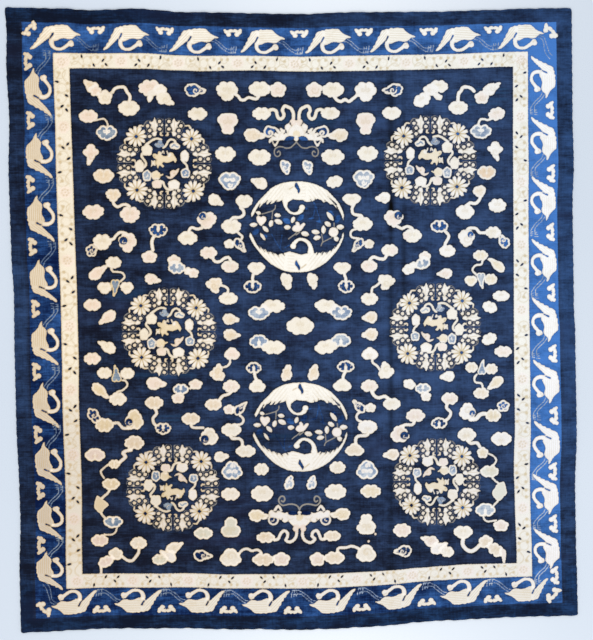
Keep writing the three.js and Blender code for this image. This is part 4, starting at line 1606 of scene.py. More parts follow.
# Leaves: middle, length, width, turn
PAIR_LEAVES = [
    (258.5, 213, 5.5, 3.6, 20), (253.5, 224.8, 8, 4.4, 0), (277.5, 215.3, 7, 4.2, 10),
    (278.5, 221.8, 9, 5, 25), (271, 223.5, 7.5, 4.6, 105), (265.5, 229, 8.5, 4.2, 45),
    (262.8, 236.8, 9.5, 3, 55), (293, 219.8, 7, 4, 110), (287.3, 227.3, 7, 4.6, 0),
    (305, 233.8, 8.5, 5, 15), (340.3, 227, 8, 5, 0), (330.2, 216.4, 11.5, 4.2, 52),
    (327.8, 224, 7.5, 4.6, 30), (323.5, 229.8, 8.5, 4.6, 90), (315.5, 232, 8.5, 4.6, 10),
    (317, 237.8, 8, 4.6, -10), (336.5, 239, 6, 4.6, 30),
]
PAIR_BLUE_LEAVES = [
    (255.8, 231.8, 8.5, 5.2, -35), (286.8, 221, 9, 5.2, 30), (300.7, 217.7, 8.5, 4.8, -42),
    (337.6, 219, 9.5, 5, -60), (264.5, 236.5, 6, 4.4, 0), (330.8, 213.2, 8, 4.4, 45),
    (306, 208.5, 4, 2, 0), (311, 218.5, 8, 1.6, -10), (319, 222, 7, 1.6, 20), (319.5, 221, 6, 1.6, 75),
]
# A leaf's vein: how far it is shifted by the width, its length and width as shares, and its depth
VEIN_SHIFT = 0.25
VEIN_LENGTH = 0.8
VEIN_WIDTH = 0.35
VEIN_DEPTH = 0.4
# Faint blue stems
PAIR_GHOSTS = [
    [(311, 201), (315, 204), (317.5, 212), (320, 220)], [(315, 205), (314, 214), (311, 219)],
    [(271.5, 234), (276, 242), (281, 250), (284, 252)], [(280.5, 250), (281, 240), (282, 235)],
    [(290, 245), (285, 247.5)],
]
GHOST_WIDTH = 1.0
STEM_WIDTH = 1.1
# Slots of blue within the birds, and single lines on their wings
PAIR_SLOTS = [
    [(296.3, 182), (294.6, 186.4), (297, 189.6), (298.4, 193.6), (300.2, 190.4), (299, 187)],
    [(296.2, 260), (294.8, 264), (297.2, 267.4), (299.2, 270.6), (300.4, 267.6), (298.8, 264.4)],
]
BACK_LINES = [[(289.5, 189), (293, 187)], [(301.5, 268), (306, 264.5)]]
BACK_LINE_WIDTH = 1.2
BACK_LINE_DEPTH = 0.7
# The wings' feathers: from and to across, which bird, and the direction across them
FEATHER_SPACING = 3.1
FEATHER_DEPTH = 0.17
WING_COMBS = [
    (258, 284, UPPER_CRANE, 38), (301, 308, UPPER_CRANE, 84), (308, 340, UPPER_CRANE, 142),
    (258, 286, LOWER_CRANE, 142), (287, 295, LOWER_CRANE, 96), (308, 338, LOWER_CRANE, 38),
]
# The gaps between the tips of the feathers, and their widths at the start and at the end
CUT_WIDTHS = (1.9, 0.7)
WING_CUTS = [
    [(257.4, 209), (260.4, 203.6)], [(264.6, 204.6), (267.6, 200.4)], [(269, 204.4), (271.4, 201)],
    [(274.6, 203), (277, 200)], [(312.4, 202.6), (310.4, 199.6)], [(316.4, 201), (314.8, 198.4)],
    [(322.6, 203.4), (320.4, 199.8)], [(328, 204.6), (324.8, 200.2)], [(341.2, 216.5), (336.2, 204.6)],
    [(336.2, 204.6), (328, 196.6)],
    [(257, 243.2), (260.4, 249)], [(261.2, 246), (264.8, 251.6)], [(265.6, 248.4), (269, 253.4)],
    [(270.6, 250.2), (274, 255)], [(276, 252.2), (279, 256.4)], [(282.4, 252.4), (284.4, 255.4)],
    [(338.8, 241.6), (334.6, 248.4)], [(334.4, 245.6), (330.8, 251.6)], [(329.8, 248.6), (326.6, 253.8)],
    [(324.4, 250.2), (321.6, 254.8)], [(319, 251), (316.6, 255)], [(341, 237), (335, 247)],
]


def crane_roundel(x0, y0, wide, high):
    """Two cranes that fly in a ring about flowers, fruit and leaves."""
    patch = stand(x0, y0, 0, ROUNDEL_REACH, wide, high)
    patch.x = patch.x + PAIR_X
    patch.y = patch.y + PAIR_Y
    for line in PAIR_GHOSTS:
        patch.paint("royal", stroke(line, GHOST_WIDTH))
    for values in PAIR_BLUE_LEAVES:
        patch.paint("royal", leaf(*values))
    for line in PAIR_STEMS:
        patch.paint("tan", stroke(line, STEM_WIDTH))
    fruit = [outline(PEACH_HEART), outline(OPEN_FLOWER), disc(*ROUND_FRUIT)]
    patch.paint("ivory", joined(fruit), "blush")
    for cx, cy, length, width, turn in PAIR_LEAVES:
        patch.paint("ivory", leaf(cx, cy, length, width, turn), "ivory")
        shift = VEIN_SHIFT * width
        vein = leaf(cx + shift, cy + shift, VEIN_LENGTH * length, VEIN_WIDTH * width, turn)
        patch.rule(vein, VEIN_DEPTH)
    birds = [outline(UPPER_CRANE, False), outline(LOWER_CRANE, False)]
    birds += [outline(UPPER_NECK), outline(LOWER_NECK), *(disc(*head) for head in PAIR_HEADS)]
    patch.paint("ivory", joined(birds), "snow")
    for low, high, bird, across in WING_COMBS:
        wing = outline(bird, False)
        patch.comb(
            lambda x, y: np.maximum(wing(x, y), np.maximum(low - x, x - high)),
            across, FEATHER_SPACING, FEATHER_DEPTH,
        )
    for line in WING_CUTS:
        patch.paint(None, stroke(line, *CUT_WIDTHS))
    for slot in PAIR_SLOTS:
        patch.paint("royal", outline(slot))
    for line in BACK_LINES:
        patch.rule(stroke(line, BACK_LINE_WIDTH), BACK_LINE_DEPTH)


# Butterflies: the left half of each, mirrored

BUTTERFLY_BOX = (255, 102, 338, 160)
BUTTERFLY_X = 296.3
BUTTERFLY = [
    (297.5, 122.5), (294.5, 120), (291, 120), (289.3, 122.5), (286, 124.8), (284.8, 127), (285.3, 129.5),
    (283.5, 129.5), (281, 127.9), (278.5, 128.8), (277, 130.5), (275, 132.5), (273.5, 135), (271, 137.5),
    (269, 140), (269, 143), (270.5, 142.8), (271.4, 140.6), (272.6, 143.5), (275, 147), (277.4, 144.5),
    (279, 140.8), (281, 140.2), (285, 140), (291, 138.5), (297.5, 137.5),
]
BUTTERFLY_SPOT = [(284.5, 140.5), (286, 137.5), (289.5, 136), (294, 136.8), (294, 138.5), (291.5, 140.3)]
BUTTERFLY_SCROLL = [
    (278, 130), (275, 128), (271.5, 127.3), (268, 126.3), (265.5, 128.5), (264.5, 131.5), (265.5, 135),
    (268, 136.5), (271, 136), (272.5, 134), (272, 132), (270, 131), (268.8, 132.5), (269.5, 134),
]
BUTTERFLY_FEELER = [
    (296.3, 140), (295.8, 142.5), (293, 145.5), (290.5, 147.5), (286, 148.2), (283, 147), (279, 146.7),
    (275.5, 148.5), (274.3, 151.5), (275, 155), (277.5, 156.5), (280, 155), (280.2, 152.5), (278.8, 151),
    (277.3, 152.3),
]
BUTTERFLY_RIBBON = [
    (270, 110), (273, 109.5), (276, 111), (277, 114.5), (278, 117.5), (280.5, 119), (283, 117.5), (284, 114),
    (282.5, 111), (283, 108), (285, 106), (288, 107), (291, 108.5), (293, 112), (293.5, 116), (293.5, 119),
]
BUTTERFLY_NOTCHES = [
    [(285.6, 130.6), (287, 133)], [(290, 123), (291.6, 126)], [(278.6, 128), (280.4, 131)],
    [(275.6, 131.4), (278, 133.4)], [(272.8, 135.4), (275.4, 136.6)],
]
NOTCH_WIDTHS = (1.4, 0.6)
# Its parts in the order of painting: wool, shape, and where it has its own yarn, that and the rim
BUTTERFLY_PARTS = {
    "ribbon": ("ivory", stroke(BUTTERFLY_RIBBON, 3.3), "cream"),
    "feeler": ("tan", stroke(BUTTERFLY_FEELER, 1.3)),
    "ground of the scroll": ("royal", ellipse(269.6, 131, 5, 4.2)),
    "scroll": ("ivory", stroke(BUTTERFLY_SCROLL, 2.0), "ivory"),
    "wings": ("ivory", outline(BUTTERFLY), "ivory", 1.2),
    "eye": ("ivory", disc(292.5, 121.8, 2.6), "peach"),
    "spot on the wing": ("royal", outline(BUTTERFLY_SPOT)),
    "gap in the tail": (None, outline([(272.6, 140.6), (277.4, 140.8), (275, 144.4)], False)),
    **{f"notch {k}": (None, stroke(line, *NOTCH_WIDTHS)) for k, line in enumerate(BUTTERFLY_NOTCHES)},
    "hook of a notch": (None, stroke([(285.6, 131), (285.2, 132.8), (283.8, 133.6)], 1.0)),
    "body": ("ivory", ellipse(BUTTERFLY_X, 134.6, 2.1, 2.8), "straw"),
    "head": ("ivory", ellipse(BUTTERFLY_X, 139.2, 2.3, 1.8), "ivory"),
}
BUTTERFLY_VEINS = [[(292.6, 125), (289, 130), (288, 135)], [(283, 131.5), (280, 134), (278.5, 138)]]
BUTTERFLY_VEIN_WIDTH = 0.9
BUTTERFLY_VEIN_DEPTH = 0.35

LOWER_BUTTERFLY_BOX = (250, 488, 348, 540)
LOWER_BUTTERFLY_X = 299.5
LOWER_BUTTERFLY = [
    (301, 515.4), (298, 515), (292.6, 514.7), (288.4, 512), (284.3, 513.1), (278.6, 510.8), (275.5, 512.6),
    (271.9, 510), (268.8, 512), (269.8, 516.2), (274, 519.3), (279.1, 518.8), (284.3, 522.4), (288.4, 521.4),
    (290.5, 523.5), (294.6, 526.6), (301, 527.6),
]
LOWER_FEELER = [
    (300, 511), (297.7, 506.4), (293.6, 504.3), (288.4, 504.3), (283.3, 505.4), (280.2, 503.8),
    (278.6, 500.2), (280.7, 496.6), (283.8, 496.6), (284.8, 499.7), (283.3, 501.8), (281.4, 500.7),
]
LOWER_PARTS = {
    "feeler": ("tan", stroke(LOWER_FEELER, 1.5)),
    "ground of the curl": ("royal", ellipse(274, 519.8, 4.6, 3.0)),
    "wings": ("ivory", outline(LOWER_BUTTERFLY), "ivory", 1.2),
    "blue of the curl": ("royal", ellipse(272.8, 520.4, 4.4, 2.8)),
    "curl": ("ivory", ring(273.4, 519.8, 4.6, 1.9), "ivory"),
    "end of the curl": ("ivory", stroke([(272, 521), (274, 520.6), (274, 519)], 1.1), "ivory"),
    "tail": ("ivory", outline([(273.6, 510.6), (278.2, 504.6), (282.4, 511)]), "ivory"),
    "gap in the tail": (None, outline([(275.8, 511), (278.3, 507.4), (280.6, 511)], False)),
    "inner notch": (None, stroke([(286.6, 524.4), (288.6, 520.4)], *NOTCH_WIDTHS)),
    "outer notch": (None, stroke([(281, 521.6), (282.4, 518.6)], *NOTCH_WIDTHS)),
    "spot on the wing": ("royal", ellipse(292.6, 513.2, 4.8, 2.1)),
    "eye": ("ivory", disc(295.7, 528.6, 2.9), "peach"),
    "body": ("ivory", ellipse(LOWER_BUTTERFLY_X, 516.6, 1.9, 2.9), "straw"),
    "head": ("ivory", ellipse(LOWER_BUTTERFLY_X, 512.4, 2.0, 1.4), "ivory"),
}
LOWER_VEINS = [[(293.5, 518.5), (289.5, 519.4), (287, 517)]]


def butterfly(box, axis, parts, veins):
    patch = photo_patch(box)
    patch.x = axis - np.abs(patch.x - axis)
    for part in parts.values():
        patch.paint(*part)
    for line in veins:
        patch.rule(stroke(line, BUTTERFLY_VEIN_WIDTH), BUTTERFLY_VEIN_DEPTH)


# Leaves, tails and small spots that stand apart

# Leaves: yarn and outline
LOOSE_LEAVES = [
    ("straw", [
        (97.1, 495.6), (103.3, 499.7), (108.7, 504.7), (104.3, 509), (102.3, 512.6), (99.7, 513.1),
        (96.1, 510), (94.2, 506.9), (94.5, 502.8), (95.6, 499.2),
    ]),
    ("sage", [
        (502.9, 481.6), (505, 484.2), (506.8, 493.5), (503.9, 496.1), (501.9, 499.2), (498.8, 500.7),
        (495.7, 499.2), (492.6, 495), (492.4, 491.4), (495.2, 487.8), (496.7, 484.7),
    ]),
    ("peach", [(500.9, 549.3), (505.8, 550.8), (505, 562.7), (502.9, 562.2), (501.9, 557.5)]),
]
LOOSE_RIM = 0.8
LOOSE_REACH = 9
# Tips: x, y, length, width, turn
LOOSE_TIPS = [(150.3, 97, 12, 6, 107), (437, 96, 12, 6, 45)]
# Blue hearts of curled leaves, and peach spots: x, y, radius
BLUE_HEARTS = [
    (123.4, 240.7, 4), (202.5, 216.3, 3.5), (398.3, 215.5, 4), (470.5, 234.5, 3), (129.1, 422.1, 3.5),
    (204.8, 439.1, 4), (404.3, 435.5, 4), (472.4, 413.3, 3),
]
HEART_CURL = [(0.6, 0.5), (-0.2, 0.5), (0, -0.1)]
HEART_CURL_WIDTH = 0.9
PEACH_SPOTS = [(405.5, 236, 2.2), (393, 250.5, 2.2), (368.7, 541.3, 1.3), (375.4, 534.1, 1.3)]


def loose_shapes():
    for yarn, points in LOOSE_LEAVES:
        photo_patch(box_of(points)).paint("ivory", outline(points), yarn, LOOSE_RIM)
    for x, y, length, width, turn in LOOSE_TIPS:
        stand(x, y, 0, LOOSE_REACH).paint("ivory", leaf(0, 0, length, width, turn), "ivory")
    for x, y, radius in BLUE_HEARTS:
        patch = stand(x, y, 0, LOOSE_REACH)
        patch.paint("royal", disc(0, 0, radius))
        curl = [(u * radius, v * radius) for u, v in HEART_CURL]
        patch.paint("ivory", stroke(curl, HEART_CURL_WIDTH), "ivory")
    for x, y, radius in PEACH_SPOTS:
        stand(x, y, 0, LOOSE_REACH).paint("ivory", disc(0, 0, radius), "peach")


def paint_rug():
    bands()
    crane_border()
    guard_vine()
    for row in RIBBONS:
        ribbon(*row)
    for table in (UPPER_LEFT_CLOUDS, UPPER_RIGHT_CLOUDS, LOWER_LEFT_CLOUDS, LOWER_RIGHT_CLOUDS, NEAR_CLOUDS):
        for row in table:
            cloud(*row)
    for row in ROUNDELS:
        floral_roundel(*row)
    for row in CRANE_ROUNDELS:
        crane_roundel(*row)
    butterfly(BUTTERFLY_BOX, BUTTERFLY_X, BUTTERFLY_PARTS, BUTTERFLY_VEINS)
    butterfly(LOWER_BUTTERFLY_BOX, LOWER_BUTTERFLY_X, LOWER_PARTS, LOWER_VEINS)
    loose_shapes()


paint_rug()


# Age and painted light: how far each dye has faded and yellowed, and where painted sheen, warm light and
# shade lie on it, with U across and V along, from 0 at the left and near to 1

U = S / WIDE
V = T / LONG
RUN = {"across": U, "along": V, "inwards": rim_distance()}
# How softly the margin ends, in millimetres
MARGIN_BLEND = 8
MARGIN_SHARE = smooth((FAR_BANDS[0] - RUN["inwards"]) / MARGIN_BLEND + 0.5)

# Rows of an amount and the soft steps it comes in by: which way, where it starts and its span. A span
# under 0 runs the other way.
NAVY_FADE_AND_SHEEN = [
    (0.22894,), (0.07481, ("across", 0, 0.75)), (0.00731, ("along", 0.1, 0.2)),
    (0.13894, ("across", 0, 0.75), ("along", 0.1, 0.2)),
    (0.03, ("across", 0.45, 0.3), ("along", 0.2, 0.15)),
]
MARGIN_FADE = [(-0.06,), (0.08, ("across", 0.9, 0.05)), (-0.02, ("along", 0.9, 0.06))]
MARGIN_WEAR = [(0.09,), (0.24, ("across", 0.1, -0.05))]
ROYAL_FADE_AND_SHEEN = [
    (0.09,), (0.162, ("across", 0.7, 0.3)), (0.378, ("across", 0.7, 0.3), ("along", 0, 0.2)),
    (0.1, ("inwards", 250, 60), ("across", 0.25, 0.3)),
    (0.1, ("along", 0.1, -0.04)), (0.035, ("along", 0.1, -0.02)), (0.05, ("along", 0.9, 0.04)),
    (-0.04, ("along", 0.45, -0.25)),
    (0.04, ("along", 0.45, -0.25), ("along", 0.12, 0.08), ("across", 0.75, 0.2)),
]
NEAR_DARKENING = [(0.8, ("along", 0.45, -0.14)), (0.3, ("along", 0.16, -0.1))]
LEFT_SHADE = [(0.6, ("along", 0.5, -0.3), ("along", 0.08, 0.08))]
LEFT_YELLOW_AND_WARM = [(1,), (-0.3, ("along", 0.14, -0.06))]
MARGIN_BLUE = [(1, ("along", 0.1, -0.04)), (1, ("along", 0.95, 0.03), ("across", 0.4, -0.2))]

# Paler spots of the navy: amount, place across and along, reach across and along
NAVY_SPOTS = [(0.13, 0.35, 0.5, 0.08, 0.1), (0.09, 0.67, 0.45, 0.12, 0.15)]
# Where the margin is worn: the middle of its sides, and the reach
HALFWAY = 0.5
HALFWAY_REACH = 0.2
# What the royal blue gains over the whole width and length, in fading and painted sheen
ROYAL_ACROSS = 0.07
ROYAL_ALONG = 0.27
# How fast the yellowed wool in painted warm light and the painted shade fall off from the left side, and the
# yellowed wool in warm light from the near end
YELLOW_AND_WARM_POWER = 1.8
LEFT_SHADE_POWER = 3
NEAR_YELLOW_AND_WARM = 0.3
NEAR_YELLOW_AND_WARM_POWER = 3
# The least share of the margin's own tint
MARGIN_LEAST = 0.4
# How much darker, as shares of red, green and blue, the near darkening and the painted shade make a yarn
DARKENING_AND_SHADE = (0.17, 0.155, 0.1)


def rise(values, start, span):
    """Goes smoothly from 0 at start to 1 a span further."""
    return smooth((values - start) / span)


def summed(rows):
    """Adds up rows of an amount and the soft steps it comes in by."""
    return sum(
        amount * math.prod(rise(RUN[way], start, span) for way, start, span in steps)
        for amount, *steps in rows
    )


def spot(across, along, wide, long):
    """1 at a place of the rug, and less around it."""
    return np.exp(-(((U - across) / wide) ** 2) - ((V - along) / long) ** 2)


def navy_fade_and_sheen():
    """The navy is paler to the right and the far end, in soft spots, and halfway up the side margins; the
    paleness to the right is partly fading and partly painted sheen of the pile.
    """
    spots = sum(amount * spot(*place) for amount, *place in NAVY_SPOTS)
    halfway = np.exp(-(((V - HALFWAY) / HALFWAY_REACH) ** 2))
    margin = summed(MARGIN_FADE) + summed(MARGIN_WEAR) * halfway
    return summed(NAVY_FADE_AND_SHEEN) + spots + MARGIN_SHARE * margin


def royal_fade_and_sheen():
    """The royal blue is paler to the right and the far end, at both ends and in the roundels; the paleness
    to the right and the far end is partly fading and partly painted sheen of the pile.
    """
    return ROYAL_ACROSS * U + ROYAL_ALONG * V + summed(ROYAL_FADE_AND_SHEEN)


def yellowing_and_warm_light():
    """The wool has yellowed, and is painted in warmer, dimmer light, to the left and at the near end."""
    left = (1 - U) ** YELLOW_AND_WARM_POWER * summed(LEFT_YELLOW_AND_WARM)
    near = NEAR_YELLOW_AND_WARM * (1 - V) ** NEAR_YELLOW_AND_WARM_POWER
    return np.clip(left + near, 0, 1)


def near_darkening_and_left_shade():
    """The ivory wools are duller in the near half, most of all at its left; the dulling at the left is
    painted shade.
    """
    return summed(NEAR_DARKENING) + (1 - U) ** LEFT_SHADE_POWER * summed(LEFT_SHADE)


def margin_tint():
    """The margin's navy is bluer than the field's, most of all at the near end and the far left."""
    return MARGIN_SHARE * (MARGIN_LEAST + (1 - MARGIN_LEAST) * np.clip(summed(MARGIN_BLUE), 0, 1))


# Ivory yarns duller in the near half, and in painted shade towards the left
TINT *= 1 - near_darkening_and_left_shade()[..., None] * np.array(DARKENING_AND_SHADE)

# Painted shade where the pile is folded: photo column, top and bottom rows, half width, depth
FOLD_SHADES = [
    (391, 190, 460, 3.0, 0.56), (404, 190, 310, 3.0, 0.52), (391, 62, 236, 4.2, 0.62),
    (230, 80, 300, 3.2, 0.2), (404, 60, 190, 2.6, 0.26), (391, 450, 590, 2.8, 0.36),
    (404, 310, 590, 2.6, 0.24), (281, 60, 300, 3.0, 0.18), (302, 60, 120, 2.6, 0.22),
    (354, 70, 600, 1.8, 0.14), (209, 10, 120, 3.0, 0.24), (244, 10, 90, 3.0, 0.18),
    (150, 300, 590, 3.5, 0.14), (445, 330, 600, 3.0, 0.14), (348, 8, 70, 3.0, 0.22),
    (383, 8, 60, 3.0, 0.22), (489, 8, 60, 3.0, 0.2), (55, 8, 50, 3.0, 0.2),
]
FOLD_SHADE_END = 20
# Threads of paler dye: photo row, first and last columns, half width, strength
PALE_THREADS = [
    (89, 462, 512, 1.0, 0.5), (93, 466, 512, 1.0, 0.45), (99, 470, 512, 1.2, 0.5),
    (104, 462, 505, 1.0, 0.4), (414, 103, 122, 0.9, 0.5), (416, 155, 190, 0.9, 0.4),
    (420, 150, 185, 0.9, 0.4), (294, 105, 150, 5.0, 0.3), (375, 90, 200, 2.5, 0.3),
    (118, 255, 338, 7.0, 0.35), (346, 400, 470, 3.0, 0.2), (436, 250, 330, 2.5, 0.25),
]
THREAD_END = 8


def painted_fold_shade():
    marks = np.zeros(S.shape)
    for column, top, bottom, half, depth in FOLD_SHADES:
        span = rise(PY, top, FOLD_SHADE_END) * rise(PY, bottom, -FOLD_SHADE_END)
        marks += depth * span * np.exp(-(((PX - column) / half) ** 2))
    return marks


def pale_marks():
    marks = np.zeros(S.shape)
    for row, first, last, half, strength in PALE_THREADS:
        span = rise(PX, first, THREAD_END) * rise(PX, last, -THREAD_END)
        marks += strength * span * np.exp(-(((PY - row) / half) ** 2))
    return marks


# Materials

NAVY_DEEP = linear(12, 18, 36)
NAVY_WORN_AND_SHEEN = linear(56, 82, 126)
NAVY_VIOLET = linear(32, 38, 66)
NAVY_TEAL = linear(36, 74, 112)
ROYAL_DEEP = linear(0, 18, 58)
ROYAL_WORN_AND_SHEEN = linear(69, 122, 196)
PALE_BLUE = linear(186, 194, 202)
PALE_SHADE = linear(124, 142, 168)
DRAB = linear(146, 140, 130)
GOLD = linear(192, 166, 108)
IVORY_RIM = linear(243, 236, 222)
BLACK = (0.0, 0.0, 0.0)
# Shares by which age, painted light and place change a dye: yellowed wool in painted warm, dimmer light, and
# painted cool light where it is not yellowed
AGED_AND_WARM_LIT = (1.02, 0.925, 0.85)
BLEACHED_AND_COOL_LIT = (0.96, 1.01, 1.13)
MARGIN_TINT = (0.55, 1.0, 1.2)
NAVY_AGED_AND_WARM_LIT = (1.0, 0.86, 0.8)
PALE_AGED_AND_SHADED = (0.54, 0.58, 0.6)

# The streaks of the pile: share, noise per metre across, along and up, detail, roughness
STREAKS = {
    "mottle": (0.46, (9, 15, 1), 7, 0.74),
    "bands of dye": (0.18, (1.0, 15, 1), 5, 0.62),
    "threads": (0.18, (14, 150, 1), 3, 0.6),
    "wefts": (0.1, (130, 10, 1), 3, 0.6),
    "blotches": (0.08, (2.4, 2.4, 2.4), 3, 0.6),
}
VIOLET_BANDS = ((1.1, 7, 1), 3, 0.55)
ROWS = ((60, 240, 60), 2, 0.5)
# Plain noises: how fine per metre, detail, roughness
ROUGH_EDGE = (190, 2, 0.6)
STAIN = (16, 5, 0.65)
NAP = (420, 3, 0.65)
# How strongly the streaks show in each blue
NAVY_STREAKS = 3.2
ROYAL_STREAKS = 2.9
# An edge between two wools, in photo pixels: its softness, and how far it wanders
EDGES = {"royal": (0.4, 1.0), "ivory": (0.35, 1.3), "pale": (0.35, 1.3), "tan": (0.35, 0.6)}
# The painted shade beside a figure, where the pile is cut down into a groove: how far out it begins, and its
# depth
NAVY_GROOVE_SHADE = (2.4, 0.4)
ROYAL_GROOVE_SHADE = (1.6, 0.22)
GROOVE_SHADE_FOOT = 0.2
# Low and high values, and the shares they run from and to
VIOLET_RANGE = (0.5, 0.75, 0.0, 0.5)
COMB_RANGE = (-0.2, 0.9)
OUTLINE_RANGE = (-1.5, -0.15)
STAIN_RANGE = (0.5, 0.72, 0.0, 0.2)
STREAK_RANGE = (0.02, -0.14, 0.0, 0.14)
PALE_RANGE = (0.06, -0.06)
PALE_AGE_AND_SHADE_RANGE = (0.4, 0.8)
NAP_RANGE = (0.3, 0.7, 0.0, 0.18)
# What the yellowed wool and its painted warm light add to: the depth of a shape's own yarn, and its golden
# outline
CORE_DEPTH = (0.62, 0.38)
OUTLINE_DEPTH = (0.16, 0.4)
# Bumps: strength, and height in metres
NAP_BUMP = (0.35, 0.0012)
ROW_BUMP = (0.25, 0.001)
WOOL_ROUGHNESS = 0.9
WOOL_SHEEN = 0.04
WOOL_SHEEN_TINT = (0.8, 0.88, 1.0)

COTTON_DARK = linear(196, 184, 160)
COTTON_PALE = linear(222, 212, 190)
COTTON_WEAVE = ((520, 180, 1), 2, 0.5)
COTTON_BUMP = (0.4, 0.0008)


def streak_sum(nodes, place):
    """All streaks together, about 0."""
    total = 0.0
    for share, scale, detail, roughness in STREAKS.values():
        total = nodes.math("MULTIPLY_ADD", nodes.woven(place, scale, detail, roughness), share, total)
    return nodes.math("SUBTRACT", total, 0.5)


def groove_shade(nodes, colour, line):
    """Paints shade into a ground beside the ivory figures, where the pile is cut down into a groove."""
    start, depth = line
    return nodes.mix(nodes.ramp(nodes.channel("ivory"), start, GROOVE_SHADE_FOOT, 0.0, depth), colour, BLACK)


def blue_wools(nodes, place, streaks, edge):
    """Navy and royal, each faded, in painted sheen and streaked, with painted shade where the pile is folded
    and beside the figures, and paler threads.
    """
    # Navy faded and in painted sheen towards the right, streaked
    worn = nodes.math("MULTIPLY_ADD", streaks, NAVY_STREAKS, nodes.channel("navy_fade_and_sheen"))
    navy = nodes.mix(nodes.ramp(worn, 0.0, 1.0), NAVY_DEEP, NAVY_WORN_AND_SHEEN)
    violet = nodes.ramp(nodes.woven(place, *VIOLET_BANDS), *VIOLET_RANGE)
    navy = nodes.mix(violet, navy, NAVY_VIOLET)
    # Painted warm, dimmer light on the navy where the wool is yellowed
    navy = nodes.mix(nodes.channel("yellowing_and_warm_light"), navy, NAVY_AGED_AND_WARM_LIT, "MULTIPLY")
    navy = nodes.mix(nodes.channel("pale_threads"), navy, NAVY_TEAL)
    navy = nodes.mix(nodes.channel("margin"), navy, MARGIN_TINT, "MULTIPLY")
    # Royal blue faded and in painted sheen towards the right and the far end, streaked
    bright = nodes.math("MULTIPLY_ADD", streaks, ROYAL_STREAKS, nodes.channel("royal_fade_and_sheen"))
    royal = nodes.mix(nodes.ramp(bright, 0.0, 1.0), ROYAL_DEEP, ROYAL_WORN_AND_SHEEN)
    # Painted shade beside the ivory figures
    navy = groove_shade(nodes, navy, NAVY_GROOVE_SHADE)
    royal = groove_shade(nodes, royal, ROYAL_GROOVE_SHADE)
    blue = nodes.mix(edge("royal"), navy, royal)
    # Painted shade where the pile is folded
    return nodes.mix(nodes.channel("fold_shade"), blue, BLACK)


def ivory_wools(nodes, place, streaks):
    """Each shape's own yarn within an ivory rim, with golden combing, lines and stains."""
    yellow_and_warm = nodes.channel("yellowing_and_warm_light")
    base, more = CORE_DEPTH
    depth = nodes.math("MULTIPLY", nodes.math("MULTIPLY_ADD", yellow_and_warm, more, base), nodes.channel("core"))
    ivory = nodes.mix(depth, IVORY_RIM, nodes.channel("tint", True))
    lines = nodes.math("SINE", nodes.math("MULTIPLY", nodes.channel("comb"), 2 * math.pi))
    combed = nodes.math("MULTIPLY", nodes.channel("combed"), nodes.ramp(lines, *COMB_RANGE))
    ivory = nodes.mix(combed, ivory, GOLD)
    base, more = OUTLINE_DEPTH
    share = nodes.math("MULTIPLY_ADD", yellow_and_warm, more, base)
    line = nodes.math("MULTIPLY", nodes.ramp(nodes.channel("ivory"), *OUTLINE_RANGE), share)
    ivory = nodes.mix(line, ivory, GOLD)
    ivory = nodes.mix(nodes.ramp(nodes.noise(place, *STAIN), *STAIN_RANGE), ivory, GOLD)
    ivory = nodes.mix(nodes.channel("lines"), ivory, GOLD)
    ivory = nodes.mix(nodes.ramp(streaks, *STREAK_RANGE), ivory, GOLD)
    # Yellowed wool in painted warm light, and painted cool light where it is not yellowed
    return nodes.mix(1.0, ivory, nodes.mix(yellow_and_warm, BLEACHED_AND_COOL_LIT, AGED_AND_WARM_LIT), "MULTIPLY")


def pale_wool(nodes, streaks):
    pale = nodes.mix(nodes.ramp(streaks, *PALE_RANGE), PALE_BLUE, PALE_SHADE)
    # Pale wool darker where yellowed, in age and painted shade
    aged_and_shaded = nodes.ramp(nodes.channel("yellowing_and_warm_light"), *PALE_AGE_AND_SHADE_RANGE)
    return nodes.mix(aged_and_shaded, pale, PALE_AGED_AND_SHADED, "MULTIPLY")


def wool():
    """Dyed pile: the wools one over another by their distance channels, and the nap."""
    nodes = Nodes("dyed_wool_pile")
    place = nodes.position()
    rough = nodes.math("SUBTRACT", nodes.noise(place, *ROUGH_EDGE), 0.5)

    def edge(layer):
        soft, wander = EDGES[layer]
        distance = nodes.math("MULTIPLY_ADD", rough, wander, nodes.channel(layer))
        return nodes.ramp(distance, soft, -soft)

    streaks = streak_sum(nodes, place)
    colour = blue_wools(nodes, place, streaks, edge)
    colour = nodes.mix(edge("ivory"), colour, ivory_wools(nodes, place, streaks))
    colour = nodes.mix(edge("pale"), colour, pale_wool(nodes, streaks))
    colour = nodes.mix(edge("tan"), colour, DRAB)
    nap = nodes.noise(place, *NAP)
    colour = nodes.mix(nodes.ramp(nap, *NAP_RANGE), colour, BLACK)
    normal = nodes.bump(nap, *NAP_BUMP)
    normal = nodes.bump(nodes.woven(place, *ROWS), *ROW_BUMP, normal)
    nodes.surface(colour, WOOL_ROUGHNESS, normal, WOOL_SHEEN, WOOL_SHEEN_TINT)
    return nodes.material


def cotton():
    nodes = Nodes("cotton_foundation")
    weave = nodes.woven(nodes.position(), *COTTON_WEAVE)
    colour = nodes.mix(weave, COTTON_DARK, COTTON_PALE)
    nodes.surface(colour, WOOL_ROUGHNESS, nodes.bump(weave, *COTTON_BUMP))
    return nodes.material


# Building the pieces

HEIGHT = top_height()
# How many places along each side are measured for the widest line
RIM_SAMPLES = 200


def rim_points():
    """Chart indices once round the grid's outer line, anticlockwise from above."""
    last_i = len(ACROSS) - 1
    last_j = len(ALONG) - 1
    loop = [(i, 0) for i in range(last_i)]
    loop += [(last_i, j) for j in range(last_j)]
    loop += [(i, last_j) for i in range(last_i, 0, -1)]
    loop += [(0, j) for j in range(last_j, 0, -1)]
    return loop


